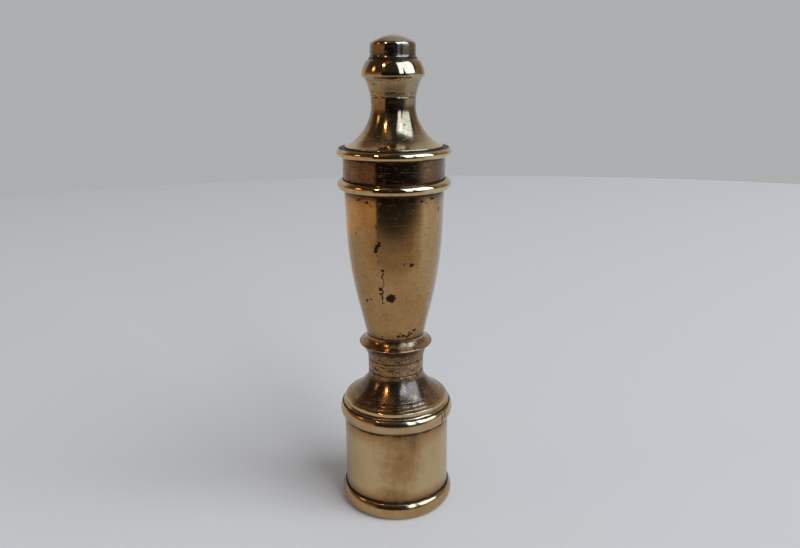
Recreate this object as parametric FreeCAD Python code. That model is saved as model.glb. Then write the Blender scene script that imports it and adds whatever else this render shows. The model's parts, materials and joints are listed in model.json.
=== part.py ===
import FreeCAD, Part
import math
import os

# A turned brass pepper mill that stands on its base, with +Z up along the turning axis.
# The origin is the centre of the foot. All sizes are in millimetres.

# Play between pieces
FIT_GAP = 0.05            # radial play where one piece is seated in another
RUN_GAP = 0.08            # radial play where one piece turns or slides in another

# Base sleeve: a tube with a rounded bead at each end and a ledge inside for the burr ring
BASE_RADIUS = 13.05
BASE_WALL = 1.55
BASE_HEIGHT = 27.6
FOOT_BEAD_HEIGHT = 4.6
TOP_BEAD_HEIGHT = 4.5
BASE_BEAD_PROUD = 1.05
BASE_EDGE_INSET = 0.2     # how far the bead's outer end stays out from the plain wall
LEDGE_WIDTH = 2.5
MOUTH_FLARE_HEIGHT = 3.0
MOUTH_FLARE_WIDTH = 1.5

# Pedestal: rim, hollow flare, waist and the ring that carries the vase
RIM_INSET = 0.25          # rim radius under the base wall's radius
RIM_HEIGHT = 0.9
FLARE_HEIGHT = 6.3
FLARE_RISE = 3.3          # how far the flare's end line climbs on its way to the waist
FLARE_FULLNESS = 0.76     # how closely the flare follows its two end lines
WAIST_RADIUS = 6.82
WAIST_HEIGHT = 3.3
RING_COVE_HEIGHT = 4.4
RING_COVE_FULLNESS = 0.42
RING_RADIUS = 8.97
RING_EDGE_HEIGHT = 0.5
RING_TOP_HEIGHT = 2.06
PEDESTAL_WALL = 1.35
SKIRT_LENGTH = 3.6
LAND_WIDTH = 1.6          # width of the clamped rims of skirt, bridge and burr ring
FLOOR_THICKNESS = 1.4     # pedestal metal under the rim, above the hollow
SPIGOT_LENGTH = 4.0
SPIGOT_WALL = 0.7

# Hopper: the vase, two beads with a plain band between them, and the open mouth
VASE_FOOT_RADIUS = 7.04
VASE_HEIGHT = 35.84
VASE_BEND_HEIGHT = 17.2   # where the lower and upper tapers would meet, above the vase's foot
VASE_BEND_INSET = 0.68    # that meeting point's radius under the vase's top radius
VASE_BEND_REACH = 9.2     # how far the bend spreads above and below it
VASE_TOP_INSET = 0.15     # vase top radius under the band's radius
BAND_RADIUS = 11.9
BAND_HEIGHT = 5.4
BEAD_HEIGHT = 2.25
BEAD_PROUD = 1.44
MOUTH_BEAD_HEIGHT = 1.85  # the upper bead, which ends at the flat top
MOUTH_BEAD_EDGE = 0.45    # how far its upper end stays out from the band
HOPPER_WALL = 1.4
SOCKET_WALL = 0.8         # hopper metal outside the pedestal's spigot, at the foot

# Bearing washer between hopper and head
WASHER_THICKNESS = 0.6
WASHER_SEAT_DEPTH = 0.5
WASHER_INSET = 0.1        # washer edges inside the head's lip and outside the mouth

# Head: lip, flare, neck, cove and the half-round knob
HEAD_LIP_INSET = 0.55     # lip radius under the band's radius
HEAD_LIP_HEIGHT = 0.3
HEAD_FLARE_HEIGHT = 8.7
HEAD_FLARE_RISE = 1.7
HEAD_FLARE_FULLNESS = 0.6
HEAD_NECK_RADIUS = 5.14
HEAD_NECK_HEIGHT = 0.7
HEAD_COVE_HEIGHT = 5.9
HEAD_COVE_DROP = 0.7      # how far the cove's end line falls on its way to the neck
HEAD_COVE_FULLNESS = 0.55
KNOB_RADIUS = 7.2
KNOB_EDGE_HEIGHT = 0.4
KNOB_UNDERCUT = 0.12
KNOB_HEIGHT = 3.5
KNOB_TOP_RADIUS = 5.3
KNOB_FULLNESS = 0.33

# Drive plate under the head, with its screws
PLATE_THICKNESS = 2.2
PLATE_SCREW_CIRCLE = 5.4
PLATE_SCREW_COUNT = 3
PLATE_SCREW_RADIUS = 0.8
PLATE_SCREW_HEAD_RADIUS = 1.5
PLATE_SCREW_REACH = 2.4   # depth of thread in the head
SCREW_SLOT_WIDTH = 0.4
SCREW_SLOT_DEPTH = 0.4

# Finial nut and its washer
NUT_RADIUS = 5.2
NUT_WALL_HEIGHT = 3.3
NUT_DOME_HEIGHT = 1.65
NUT_EDGE = 0.35
NUT_CROWN = 0.9           # metal over the blind thread
NUT_WASHER_RADIUS = 4.4
NUT_WASHER_THICKNESS = 0.5
NUT_WASHER_PROUD = 0.1

# Spindle
SPINDLE_SIDE = 3.2
STUD_RADIUS = 1.5
SQUARE_ABOVE_PLATE = 1.3  # length of square above the drive plate
STUD_IN_NUT = 2.3         # thread engaged in the finial nut at rest
ADJUST_TRAVEL = 1.2       # how far the spindle rises from coarse to fine

# Grinding set: burr ring, burr cone, bridge, bush and spring
BURR_RING_HEIGHT = 10.0
BURR_ZONE_HEIGHT = 4.0
BURR_MOUTH_RADIUS = 7.9
BURR_TAPER = 0.35         # change of radius for each millimetre of height
BURR_GAP = 0.55           # space between ring and cone at the coarse setting
CONE_LIFT = 0.5           # cone's foot above the ring's foot
CONE_HEIGHT = 7.0
RING_FLUTE_COUNT = 16
CONE_FLUTE_COUNT = 11
FLUTE_DEPTH = 0.7
FLUTE_HALF_WIDTH = 0.8
FLUTE_SKEW = 24.0         # degrees between a flute and the cone's straight line
BRIDGE_HEIGHT = 4.6
BRIDGE_ARM_COUNT = 3
BRIDGE_ARM_WIDTH = 2.2
BRIDGE_ARM_THICKNESS = 1.6
BRIDGE_HUB_RADIUS = 4.8
BUSH_WALL = 1.1
BUSH_FLANGE_RADIUS = 4.3
BUSH_FLANGE_THICKNESS = 0.6
PIN_COUNT = 2
PIN_RADIUS = 0.5
PIN_DEPTH = 1.3           # how far a locating pin enters the ring below and the skirt above
THRUST_WASHER_RADIUS = 4.3
THRUST_WASHER_THICKNESS = 0.6
SPRING_WIRE = 0.7
SPRING_RADIUS = 3.3       # to the middle of the wire
SPRING_TURNS = 3.5

# Nut and washers under the burr cone
BURR_WASHER_RADIUS = 3.4
BURR_WASHER_THICKNESS = 0.6
LOCK_WASHER_RADIUS = 2.7
LOCK_WASHER_THICKNESS = 0.6
LOCK_WASHER_SPLIT = 0.5
BURR_NUT_FLATS = 5.5
BURR_NUT_HEIGHT = 2.4
STUD_PAST_NUT = 0.4

# Heights worked out from the sizes above
base_top = BASE_HEIGHT
rim_top = base_top + RIM_HEIGHT
flare_top = rim_top + FLARE_HEIGHT
waist_top = flare_top + WAIST_HEIGHT
ring_low = waist_top + RING_COVE_HEIGHT
ring_high = ring_low + RING_EDGE_HEIGHT
vase_foot = ring_high + RING_TOP_HEIGHT
vase_top = vase_foot + VASE_HEIGHT
band_foot = vase_top + BEAD_HEIGHT
band_top = band_foot + BAND_HEIGHT
hopper_top = band_top + MOUTH_BEAD_HEIGHT
washer_foot = hopper_top - WASHER_SEAT_DEPTH
head_foot = washer_foot + WASHER_THICKNESS
lip_top = head_foot + HEAD_LIP_HEIGHT
head_flare_top = lip_top + HEAD_FLARE_HEIGHT
neck_top = head_flare_top + HEAD_NECK_HEIGHT
knob_foot = neck_top + HEAD_COVE_HEIGHT
knob_edge_top = knob_foot + KNOB_EDGE_HEIGHT
head_top = knob_edge_top + KNOB_HEIGHT
nut_washer_foot = head_top + NUT_WASHER_PROUD - NUT_WASHER_THICKNESS
nut_foot = head_top + NUT_WASHER_PROUD
nut_wall_top = nut_foot + NUT_WALL_HEIGHT
nut_top = nut_wall_top + NUT_DOME_HEIGHT
plate_foot = head_foot - PLATE_THICKNESS
skirt_foot = base_top - SKIRT_LENGTH
bridge_foot = skirt_foot - BRIDGE_HEIGHT
ledge_top = bridge_foot - BURR_RING_HEIGHT
cone_foot = ledge_top + CONE_LIFT
cone_top = cone_foot + CONE_HEIGHT
thrust_top = cone_top + THRUST_WASHER_THICKNESS
arm_foot = skirt_foot - BRIDGE_ARM_THICKNESS
bush_foot = arm_foot - BUSH_FLANGE_THICKNESS
burr_washer_foot = cone_foot - BURR_WASHER_THICKNESS
lock_washer_foot = burr_washer_foot - LOCK_WASHER_THICKNESS
burr_nut_foot = lock_washer_foot - BURR_NUT_HEIGHT
stud_foot = burr_nut_foot - STUD_PAST_NUT
square_top = head_foot + SQUARE_ABOVE_PLATE
stud_top = nut_foot + STUD_IN_NUT

# Radii worked out from the sizes above
sleeve_bore = BASE_RADIUS - BASE_WALL
stack_radius = sleeve_bore - FIT_GAP
land_inner = stack_radius - LAND_WIDTH
ledge_inner = sleeve_bore - LEDGE_WIDTH
rim_radius = BASE_RADIUS - RIM_INSET
spigot_radius = VASE_FOOT_RADIUS - SOCKET_WALL
throat_radius = min(WAIST_RADIUS - PEDESTAL_WALL, spigot_radius - SPIGOT_WALL)
vase_top_radius = BAND_RADIUS - VASE_TOP_INSET
mouth_radius = BAND_RADIUS - HOPPER_WALL
lip_radius = BAND_RADIUS - HEAD_LIP_INSET
square_reach = SPINDLE_SIDE / math.sqrt(2)
bush_bore = square_reach + RUN_GAP
bush_radius = bush_bore + BUSH_WALL
cone_foot_radius = BURR_MOUTH_RADIUS - BURR_TAPER * CONE_LIFT - BURR_GAP
ring_throat_radius = BURR_MOUTH_RADIUS - BURR_TAPER * BURR_ZONE_HEIGHT
pin_circle = stack_radius - LAND_WIDTH / 2

QUARTER_ELLIPSE = math.sqrt(0.5)   # middle weight that makes a three-pole curve a quarter of an ellipse
PARABOLA = 1.0                     # middle weight of a plain tangent bend


def point(radius, height):
    return FreeCAD.Vector(radius, 0, height)


class Outline:
    """A closed half-section in the XZ plane, drawn from point to point and turned about Z."""

    def __init__(self, radius, height):
        self.first = self.last = point(radius, height)
        self.edges = []

    def line(self, radius, height):
        end = point(radius, height)
        self.edges.append(Part.LineSegment(self.last, end).toShape())
        self.last = end
        return self

    def curve(self, corner, end, weight=QUARTER_ELLIPSE):
        """A bend from here to end, tangent to the two lines that meet at corner."""
        end = point(*end)
        bend = Part.BezierCurve()
        bend.setPoles([self.last, point(*corner), end])
        bend.setWeight(2, weight)
        self.edges.append(bend.toShape())
        self.last = end
        return self

    def arc(self, middle, end):
        end = point(*end)
        self.edges.append(Part.Arc(self.last, point(*middle), end).toShape())
        self.last = end
        return self

    def turned(self):
        self.line(self.first.x, self.first.z)
        face = Part.Face(Part.Wire(self.edges))
        return face.revolve(FreeCAD.Vector(0, 0, 0), FreeCAD.Vector(0, 0, 1), 360)


def ring(inner, outer, foot, top):
    return Outline(inner, foot).line(outer, foot).line(outer, top).line(inner, top).turned()


def cylinder(radius, foot, top, x=0.0, y=0.0):
    return Part.makeCylinder(radius, top - foot, FreeCAD.Vector(x, y, foot))


def square_bar(side, foot, top):
    corner = FreeCAD.Vector(-side / 2, -side / 2, foot)
    return Part.makeBox(side, side, top - foot, corner)


def around(count, radius, start=0.0):
    """Angle and place of each of count features spread evenly on a circle."""
    for i in range(count):
        angle = start + 2 * math.pi * i / count
        yield math.degrees(angle), radius * math.cos(angle), radius * math.sin(angle)


def turned_copy(shape, degrees):
    copy = shape.copy()
    copy.rotate(FreeCAD.Vector(0, 0, 0), FreeCAD.Vector(0, 0, 1), degrees)
    return copy


def flute(foot_radius, taper, foot, height, inward):
    """A long three-sided cutter that lies along a cone's side, skewed about the side's normal."""
    slope = FreeCAD.Vector(-taper, 0, 1).normalize()
    normal = FreeCAD.Vector(1, 0, taper).normalize() * (-1 if inward else 1)
    run = slope * math.cos(math.radians(FLUTE_SKEW))
    run += FreeCAD.Vector(0, 1, 0) * math.sin(math.radians(FLUTE_SKEW))
    side = run.cross(normal)
    middle = point(foot_radius - taper * height / 2, foot + height / 2)
    begin = middle - run * height
    outside = normal * FLUTE_DEPTH
    corners = [begin - normal * FLUTE_DEPTH,
               begin + outside + side * 2 * FLUTE_HALF_WIDTH,
               begin + outside - side * 2 * FLUTE_HALF_WIDTH]
    outline = Part.makePolygon(corners + corners[:1])
    return Part.Face(outline).extrude(run * 2 * height)


def base_sleeve():
    edge = BASE_RADIUS + BASE_EDGE_INSET
    bead = BASE_RADIUS + BASE_BEAD_PROUD
    wall_foot = FOOT_BEAD_HEIGHT
    wall_top = base_top - TOP_BEAD_HEIGHT
    section = Outline(ledge_inner + MOUTH_FLARE_WIDTH, 0).line(edge, 0)
    section.arc((bead, FOOT_BEAD_HEIGHT / 2), (BASE_RADIUS, wall_foot))
    section.line(BASE_RADIUS, wall_top)
    section.arc((bead, wall_top + TOP_BEAD_HEIGHT / 2), (rim_radius, base_top))
    section.line(sleeve_bore, base_top).line(sleeve_bore, ledge_top).line(ledge_inner, ledge_top)
    section.line(ledge_inner, MOUTH_FLARE_HEIGHT)
    return section.turned()


def pedestal():
    hollow = base_top - FLOOR_THICKNESS + RIM_HEIGHT
    bore_foot = hollow + FLARE_HEIGHT
    cove_end = RING_RADIUS - RING_EDGE_HEIGHT / 2
    section = Outline(land_inner, skirt_foot).line(stack_radius, skirt_foot).line(stack_radius, base_top)
    section.line(rim_radius, base_top).line(rim_radius, rim_top)
    section.curve((WAIST_RADIUS, rim_top + FLARE_RISE), (WAIST_RADIUS, flare_top), FLARE_FULLNESS)
    section.line(WAIST_RADIUS, waist_top)
    section.curve((WAIST_RADIUS, ring_low), (cove_end, ring_low), RING_COVE_FULLNESS)
    section.arc((RING_RADIUS, (ring_low + ring_high) / 2), (cove_end, ring_high))
    ring_corner = (VASE_FOOT_RADIUS, ring_high + RING_TOP_HEIGHT / 4)
    section.curve(ring_corner, (VASE_FOOT_RADIUS, vase_foot), PARABOLA)
    section.line(spigot_radius, vase_foot).line(spigot_radius, vase_foot + SPIGOT_LENGTH)
    section.line(throat_radius, vase_foot + SPIGOT_LENGTH).line(throat_radius, bore_foot)
    section.curve((throat_radius, hollow), (land_inner, hollow))
    shape = section.turned()
    for pin in pins_at(skirt_foot, skirt_foot + PIN_DEPTH, FIT_GAP):
        shape = shape.cut(pin)
    return shape


def hopper():
    bead = BAND_RADIUS + BEAD_PROUD
    bend = vase_foot + VASE_BEND_HEIGHT
    bend_radius = vase_top_radius - VASE_BEND_INSET
    lower_slope = (bend_radius - VASE_FOOT_RADIUS) / VASE_BEND_HEIGHT
    upper_slope = VASE_BEND_INSET / (VASE_HEIGHT - VASE_BEND_HEIGHT)
    bend_foot = (bend_radius - lower_slope * VASE_BEND_REACH, bend - VASE_BEND_REACH)
    bend_top = (bend_radius + upper_slope * VASE_BEND_REACH, bend + VASE_BEND_REACH)
    socket = spigot_radius + FIT_GAP
    socket_top = vase_foot + SPIGOT_LENGTH
    inner_start = VASE_FOOT_RADIUS + lower_slope * SPIGOT_LENGTH - HOPPER_WALL
    seat_outer = lip_radius - WASHER_INSET + FIT_GAP
    section = Outline(socket, vase_foot).line(VASE_FOOT_RADIUS, vase_foot).line(*bend_foot)
    section.curve((bend_radius, bend), bend_top, PARABOLA)
    section.line(vase_top_radius, vase_top)
    section.arc((bead, vase_top + BEAD_HEIGHT / 2), (BAND_RADIUS, band_foot))
    section.line(BAND_RADIUS, band_top)
    section.arc((bead, band_top + BEAD_HEIGHT / 2), (BAND_RADIUS + MOUTH_BEAD_EDGE, hopper_top))
    section.line(seat_outer, hopper_top).line(seat_outer, washer_foot).line(mouth_radius, washer_foot)
    section.line(mouth_radius, band_foot).line(vase_top_radius - HOPPER_WALL, vase_top)
    section.line(bend_top[0] - HOPPER_WALL, bend_top[1])
    section.curve((bend_radius - HOPPER_WALL, bend), (bend_foot[0] - HOPPER_WALL, bend_foot[1]), PARABOLA)
    section.line(inner_start, socket_top).line(socket, socket_top)
    return section.turned()


def bearing_washer():
    return ring(mouth_radius + WASHER_INSET, lip_radius - WASHER_INSET, washer_foot, head_foot)


def head():
    bore = STUD_RADIUS + 3 * RUN_GAP
    clearance = square_reach + 2 * RUN_GAP
    clearance_top = square_top + ADJUST_TRAVEL + STUD_RADIUS
    washer_seat = NUT_WASHER_RADIUS + FIT_GAP
    cove_end = KNOB_RADIUS - KNOB_UNDERCUT
    section = Outline(clearance, head_foot).line(lip_radius, head_foot).line(lip_radius, lip_top)
    flare_corner = (HEAD_NECK_RADIUS, lip_top + HEAD_FLARE_RISE)
    section.curve(flare_corner, (HEAD_NECK_RADIUS, head_flare_top), HEAD_FLARE_FULLNESS)
    section.line(HEAD_NECK_RADIUS, neck_top)
    cove_corner = (HEAD_NECK_RADIUS, knob_foot - HEAD_COVE_DROP)
    section.curve(cove_corner, (cove_end, knob_foot), HEAD_COVE_FULLNESS)
    section.line(KNOB_RADIUS, knob_edge_top)
    section.curve((KNOB_RADIUS, head_top), (KNOB_TOP_RADIUS, head_top), KNOB_FULLNESS)
    section.line(washer_seat, head_top).line(washer_seat, nut_washer_foot).line(bore, nut_washer_foot)
    section.line(bore, clearance_top).line(clearance, clearance_top)
    shape = section.turned()
    for _, x, y in around(PLATE_SCREW_COUNT, PLATE_SCREW_CIRCLE):
        hole = cylinder(PLATE_SCREW_RADIUS + FIT_GAP, head_foot, head_foot + PLATE_SCREW_REACH, x, y)
        shape = shape.cut(hole)
    return shape


def screw_body(x, y, grow=0.0):
    """A countersunk screw that points up into the head, with its head flush with the plate's underside."""
    shank = PLATE_SCREW_RADIUS + grow
    flat = PLATE_SCREW_HEAD_RADIUS + grow
    cone_height = PLATE_SCREW_HEAD_RADIUS - PLATE_SCREW_RADIUS
    tip = head_foot + PLATE_SCREW_REACH
    section = Outline(0, plate_foot).line(flat, plate_foot).line(shank, plate_foot + cone_height)
    section.line(shank, tip).line(0, tip)
    shape = section.turned()
    shape.translate(FreeCAD.Vector(x, y, 0))
    return shape


def drive_plate():
    shape = cylinder(mouth_radius - RUN_GAP, plate_foot, head_foot)
    shape = shape.cut(square_bar(SPINDLE_SIDE + 2 * RUN_GAP, plate_foot, head_foot))
    for _, x, y in around(PLATE_SCREW_COUNT, PLATE_SCREW_CIRCLE):
        shape = shape.cut(screw_body(x, y, FIT_GAP))
    return shape


def plate_screws():
    screws = []
    for degrees, x, y in around(PLATE_SCREW_COUNT, PLATE_SCREW_CIRCLE):
        length = 4 * PLATE_SCREW_HEAD_RADIUS
        corner = FreeCAD.Vector(-length / 2, -SCREW_SLOT_WIDTH / 2, plate_foot)
        slot = turned_copy(Part.makeBox(length, SCREW_SLOT_WIDTH, SCREW_SLOT_DEPTH, corner), degrees)
        slot.translate(FreeCAD.Vector(x, y, 0))
        screws.append(screw_body(x, y).cut(slot))
    return Part.makeCompound(screws)


def nut_washer():
    return ring(STUD_RADIUS + 3 * RUN_GAP, NUT_WASHER_RADIUS, nut_washer_foot, nut_foot)


def finial_nut():
    bore = STUD_RADIUS + RUN_GAP
    bore_top = nut_top - NUT_CROWN
    shoulder = NUT_RADIUS - NUT_EDGE
    section = Outline(bore, nut_foot).line(NUT_RADIUS, nut_foot).line(NUT_RADIUS, nut_wall_top - NUT_EDGE)
    section.curve((NUT_RADIUS, nut_wall_top), (shoulder, nut_wall_top + NUT_EDGE / 2))
    section.curve((shoulder / 2, nut_top), (0, nut_top), PARABOLA)
    section.line(0, bore_top).line(bore, bore_top)
    return section.turned()


def spindle():
    stud_low = cylinder(STUD_RADIUS, stud_foot, cone_foot + STUD_RADIUS / 4)
    square = square_bar(SPINDLE_SIDE, cone_foot + STUD_RADIUS / 4, square_top)
    stud_high = cylinder(STUD_RADIUS, square_top, stud_top)
    return square.fuse([stud_low, stud_high]).removeSplitter()


def burr_cone():
    top_radius = cone_foot_radius - BURR_TAPER * CONE_HEIGHT
    section = Outline(0, cone_foot).line(cone_foot_radius, cone_foot)
    section.line(top_radius, cone_top).line(0, cone_top)
    shape = section.turned().cut(square_bar(SPINDLE_SIDE + 2 * FIT_GAP, cone_foot, cone_top))
    cutter = flute(cone_foot_radius, BURR_TAPER, cone_foot, CONE_HEIGHT, False)
    cutters = [turned_copy(cutter, degrees) for degrees, _, _ in around(CONE_FLUTE_COUNT, 0)]
    return shape.cut(Part.makeCompound(cutters))


def burr_ring():
    zone_top = ledge_top + BURR_ZONE_HEIGHT
    section = Outline(BURR_MOUTH_RADIUS, ledge_top).line(stack_radius, ledge_top)
    section.line(stack_radius, bridge_foot)
    section.line(land_inner, bridge_foot).line(ring_throat_radius, zone_top)
    shape = section.turned()
    cutter = flute(BURR_MOUTH_RADIUS, BURR_TAPER, ledge_top, BURR_ZONE_HEIGHT, True)
    cutters = [turned_copy(cutter, degrees) for degrees, _, _ in around(RING_FLUTE_COUNT, 0)]
    shape = shape.cut(Part.makeCompound(cutters))
    for pin in pins_at(bridge_foot - PIN_DEPTH, bridge_foot, FIT_GAP):
        shape = shape.cut(pin)
    return shape


def pins_at(foot, top, grow=0.0):
    return [cylinder(PIN_RADIUS + grow, foot, top, x, y) for _, x, y in around(PIN_COUNT, pin_circle)]


def locating_pins():
    return Part.makeCompound(pins_at(bridge_foot - PIN_DEPTH, skirt_foot + PIN_DEPTH))


def bridge():
    rim = ring(land_inner, stack_radius, bridge_foot, skirt_foot)
    hub = cylinder(BRIDGE_HUB_RADIUS, arm_foot, skirt_foot)
    overlap = LAND_WIDTH / 2
    arms = []
    for degrees, _, _ in around(BRIDGE_ARM_COUNT, 0, math.pi / 2):
        corner = FreeCAD.Vector(0, -BRIDGE_ARM_WIDTH / 2, arm_foot)
        arm = Part.makeBox(land_inner + overlap, BRIDGE_ARM_WIDTH, BRIDGE_ARM_THICKNESS, corner)
        arms.append(turned_copy(arm, degrees))
    shape = rim.fuse([hub] + arms).removeSplitter()
    shape = shape.cut(cylinder(bush_radius + FIT_GAP, arm_foot, skirt_foot))
    for pin in pins_at(bridge_foot, skirt_foot, FIT_GAP):
        shape = shape.cut(pin)
    return shape


def bridge_bush():
    section = Outline(bush_bore, bush_foot).line(BUSH_FLANGE_RADIUS, bush_foot)
    section.line(BUSH_FLANGE_RADIUS, arm_foot).line(bush_radius, arm_foot)
    section.line(bush_radius, skirt_foot).line(bush_bore, skirt_foot)
    return section.turned()


def thrust_washer():
    return ring(bush_bore, THRUST_WASHER_RADIUS, cone_top, thrust_top)


def spring():
    """A round-wire coil between the thrust washer and the bush's flange, just clear of both."""
    foot = thrust_top + FIT_GAP + SPRING_WIRE / 2
    rise = bush_foot - FIT_GAP - SPRING_WIRE / 2 - foot
    path = Part.makeHelix(rise / SPRING_TURNS, rise, SPRING_RADIUS)
    path.translate(FreeCAD.Vector(0, 0, foot))
    tangent = FreeCAD.Vector(0, 2 * math.pi * SPRING_RADIUS, rise / SPRING_TURNS)
    wire = Part.Wire(Part.makeCircle(SPRING_WIRE / 2, point(SPRING_RADIUS, foot), tangent))
    return Part.Wire(path).makePipeShell([wire], True, True)


def burr_washer():
    return ring(STUD_RADIUS + FIT_GAP, BURR_WASHER_RADIUS, burr_washer_foot, cone_foot)


def lock_washer():
    shape = ring(STUD_RADIUS + FIT_GAP, LOCK_WASHER_RADIUS, lock_washer_foot, burr_washer_foot)
    corner = FreeCAD.Vector(0, -LOCK_WASHER_SPLIT / 2, lock_washer_foot)
    split = Part.makeBox(2 * LOCK_WASHER_RADIUS, LOCK_WASHER_SPLIT, LOCK_WASHER_THICKNESS, corner)
    return shape.cut(split)


def burr_nut():
    reach = BURR_NUT_FLATS / math.sqrt(3)
    corners = [FreeCAD.Vector(x, y, burr_nut_foot) for _, x, y in around(6, reach)]
    blank = Part.Face(Part.makePolygon(corners + corners[:1]))
    shape = blank.extrude(FreeCAD.Vector(0, 0, BURR_NUT_HEIGHT))
    return shape.cut(cylinder(STUD_RADIUS + FIT_GAP, burr_nut_foot, lock_washer_foot))


PIECES = [base_sleeve, pedestal, hopper, bearing_washer, head, drive_plate, plate_screws,
          nut_washer, finial_nut, spindle, burr_cone, burr_ring, bridge, bridge_bush, locating_pins,
          thrust_washer, spring, burr_washer, lock_washer, burr_nut]


def main():
    os.makedirs("parts", exist_ok=True)
    for make in PIECES:
        shape = make()
        solids = shape.Solids
        print(make.__name__, len(solids), "solid", round(shape.Volume, 2), "mm3", shape.isValid())
        solid = solids[0] if len(solids) == 1 else Part.makeCompound(solids)
        solid.exportStep(os.path.join("parts", make.__name__ + ".step"))


main()
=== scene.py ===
# %% [markdown]
# # A small turned brass pepper mill
# Nearly everything that shows on this mill came off a lathe. So the lesson draws half-sections, turns them
# about the axis with numpy, and spends most of its care on old brass: polished where hands touch it, brown
# and lined where they don't, and black in every corner that a cloth can't reach. First the solids are loaded
# as a fixed frame.

# %% Load the solids
import json
import math
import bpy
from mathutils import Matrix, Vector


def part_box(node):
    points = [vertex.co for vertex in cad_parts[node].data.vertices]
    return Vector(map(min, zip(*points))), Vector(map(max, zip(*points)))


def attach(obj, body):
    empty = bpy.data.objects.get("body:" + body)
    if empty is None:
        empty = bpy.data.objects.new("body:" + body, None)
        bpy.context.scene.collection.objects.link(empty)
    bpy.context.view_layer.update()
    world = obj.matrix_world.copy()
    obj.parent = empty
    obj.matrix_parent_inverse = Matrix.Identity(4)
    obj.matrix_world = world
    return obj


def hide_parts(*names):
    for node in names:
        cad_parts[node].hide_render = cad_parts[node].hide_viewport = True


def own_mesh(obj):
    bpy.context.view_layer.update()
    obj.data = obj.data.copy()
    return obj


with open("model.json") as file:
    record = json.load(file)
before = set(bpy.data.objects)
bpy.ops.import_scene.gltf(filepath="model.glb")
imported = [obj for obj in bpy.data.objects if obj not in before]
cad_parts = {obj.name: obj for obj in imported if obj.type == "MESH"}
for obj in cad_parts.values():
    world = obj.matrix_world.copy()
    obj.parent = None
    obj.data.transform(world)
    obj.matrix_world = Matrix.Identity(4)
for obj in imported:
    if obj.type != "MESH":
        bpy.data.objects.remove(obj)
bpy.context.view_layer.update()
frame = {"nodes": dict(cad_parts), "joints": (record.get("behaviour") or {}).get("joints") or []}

from types import SimpleNamespace

import bpy
import numpy as np
from mathutils import Matrix, Vector

# %% [markdown]
# ## Heights and radii
# A turner works from a drawing in millimetres, measured up from the foot. The seams between the pieces, and
# each piece's widest radius, come from the solids, so a piece made here always meets its neighbours. The
# smaller steps inside one piece are named beside the section that uses them.

# %% Measure the solids in millimetres
MM = 0.001


def levels(node):
    """A solid's lowest height, highest height and radius, in millimetres. The radius is the lesser of its
    reaches in x and y, so that what is turned to it stays inside the solid's box."""
    low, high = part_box(node)
    return low.z / MM, high.z / MM, min(high.x, high.y) / MM


FOOT, BASE_TOP, BASE_BEAD = levels("base_sleeve")
SKIRT_FOOT, SPIGOT_TOP, RIM = levels("pedestal")
VASE_FOOT, HOPPER_TOP, _ = levels("hopper")
HEAD_FOOT, HEAD_TOP, LIP = levels("head")
NUT_FOOT, NUT_TOP, NUT = levels("finial_nut")
LEDGE_TOP, _, STACK = levels("burr_ring")
STUD_FOOT, STUD_TOP, _ = levels("spindle")
SPRING_FOOT, SPRING_TOP, SPRING_OUTER = levels("spring")
print("mill height", round(NUT_TOP, 2), "mm, base bead radius", round(BASE_BEAD, 2), "mm")

# %% [markdown]
# ## Drawing a half-section
# A half-section is an array of points (radius, height). Straight stretches need only their ends. Coves and
# flares are bends, a rational curve of three points: a quarter ellipse at one weight, slacker or tighter at
# others. Beads are arcs through three points. Blender's own curves could draw these too, but arrays can be
# measured and smoothed.

# %% Curves of a half-section
QUARTER = math.sqrt(0.5)
CURVE_POINTS = 60


def bend(start, corner, end, weight=QUARTER):
    """A curve from start to end, tangent at both to the lines through corner. Point = (1-t)^2 start +
    2 w t (1-t) corner + t^2 end, divided by the same sum of the weights alone."""
    t = np.linspace(0, 1, CURVE_POINTS)[:, None]
    a, b, c = (1 - t) ** 2, 2 * weight * t * (1 - t), t ** 2
    return (a * np.array(start) + b * np.array(corner) + c * np.array(end)) / (a + b + c)


def bow(start, middle, end):
    """The circle's arc through three points: the chords' perpendicular bisectors cross at its centre."""
    a, m, b = (np.array(p, float) for p in (start, middle, end))
    chords = np.array([m - a, b - a])
    centre = a + np.linalg.solve(chords, (chords ** 2).sum(1) / 2)
    angles = np.unwrap([math.atan2(*(p - centre)[::-1]) for p in (a, m, b)])
    turn = np.linspace(angles[0], angles[2], CURVE_POINTS)[:, None]
    return centre + np.linalg.norm(a - centre) * np.hstack([np.cos(turn), np.sin(turn)])


def outline(*parts):
    """Points and curves, joined in order into one array of (radius, height)."""
    return np.vstack([np.atleast_2d(p) for p in parts])


quarter_bend = bend((1, 0), (1, 1), (0, 1))
print("a quarter bend strays from its circle by", np.ptp(np.linalg.norm(quarter_bend, axis=1)))

# %% [markdown]
# ## Easing the edges
# No edge on a hand-polished piece is sharp. A bevel modifier could round them, but on thin lips its widths
# would meet. Instead the section is walked in tiny even steps and blurred along its length, which rounds
# every edge by the same small amount and leaves the long curves alone. Then points are picked: few on
# straight runs, many where the section turns.

# %% Ease and thin a section
STEP = 0.02
EASE = 0.09
LONGEST, SHARPEST = 0.7, 8.0


def walked(section, poles):
    """The closed section in even steps. One that ends on the axis is closed by its own mirror image."""
    mirror = section[::-1][1:-1] * (-1, 1)
    loop = np.vstack([section, mirror, section[:1]] if poles else [section, section[:1]])
    far = np.r_[0, np.cumsum(np.linalg.norm(np.diff(loop, axis=0), axis=1))]
    keep = np.r_[True, np.diff(far) > 1e-9]
    even = np.linspace(0, far[-1], 2 * round(far[-1] / STEP / 2), endpoint=False)
    return np.column_stack([np.interp(even, far[keep], loop[keep, i]) for i in (0, 1)])


def blurred(loop, reach):
    """Each point becomes a bell-weighted mean of its neighbours within about reach, by its frequencies."""
    frequency = np.fft.fftfreq(len(loop), STEP)[:, None]
    bell = np.exp(-2 * (math.pi * frequency * reach) ** 2)
    return np.fft.ifft(np.fft.fft(loop, axis=0) * bell, axis=0).real


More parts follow.
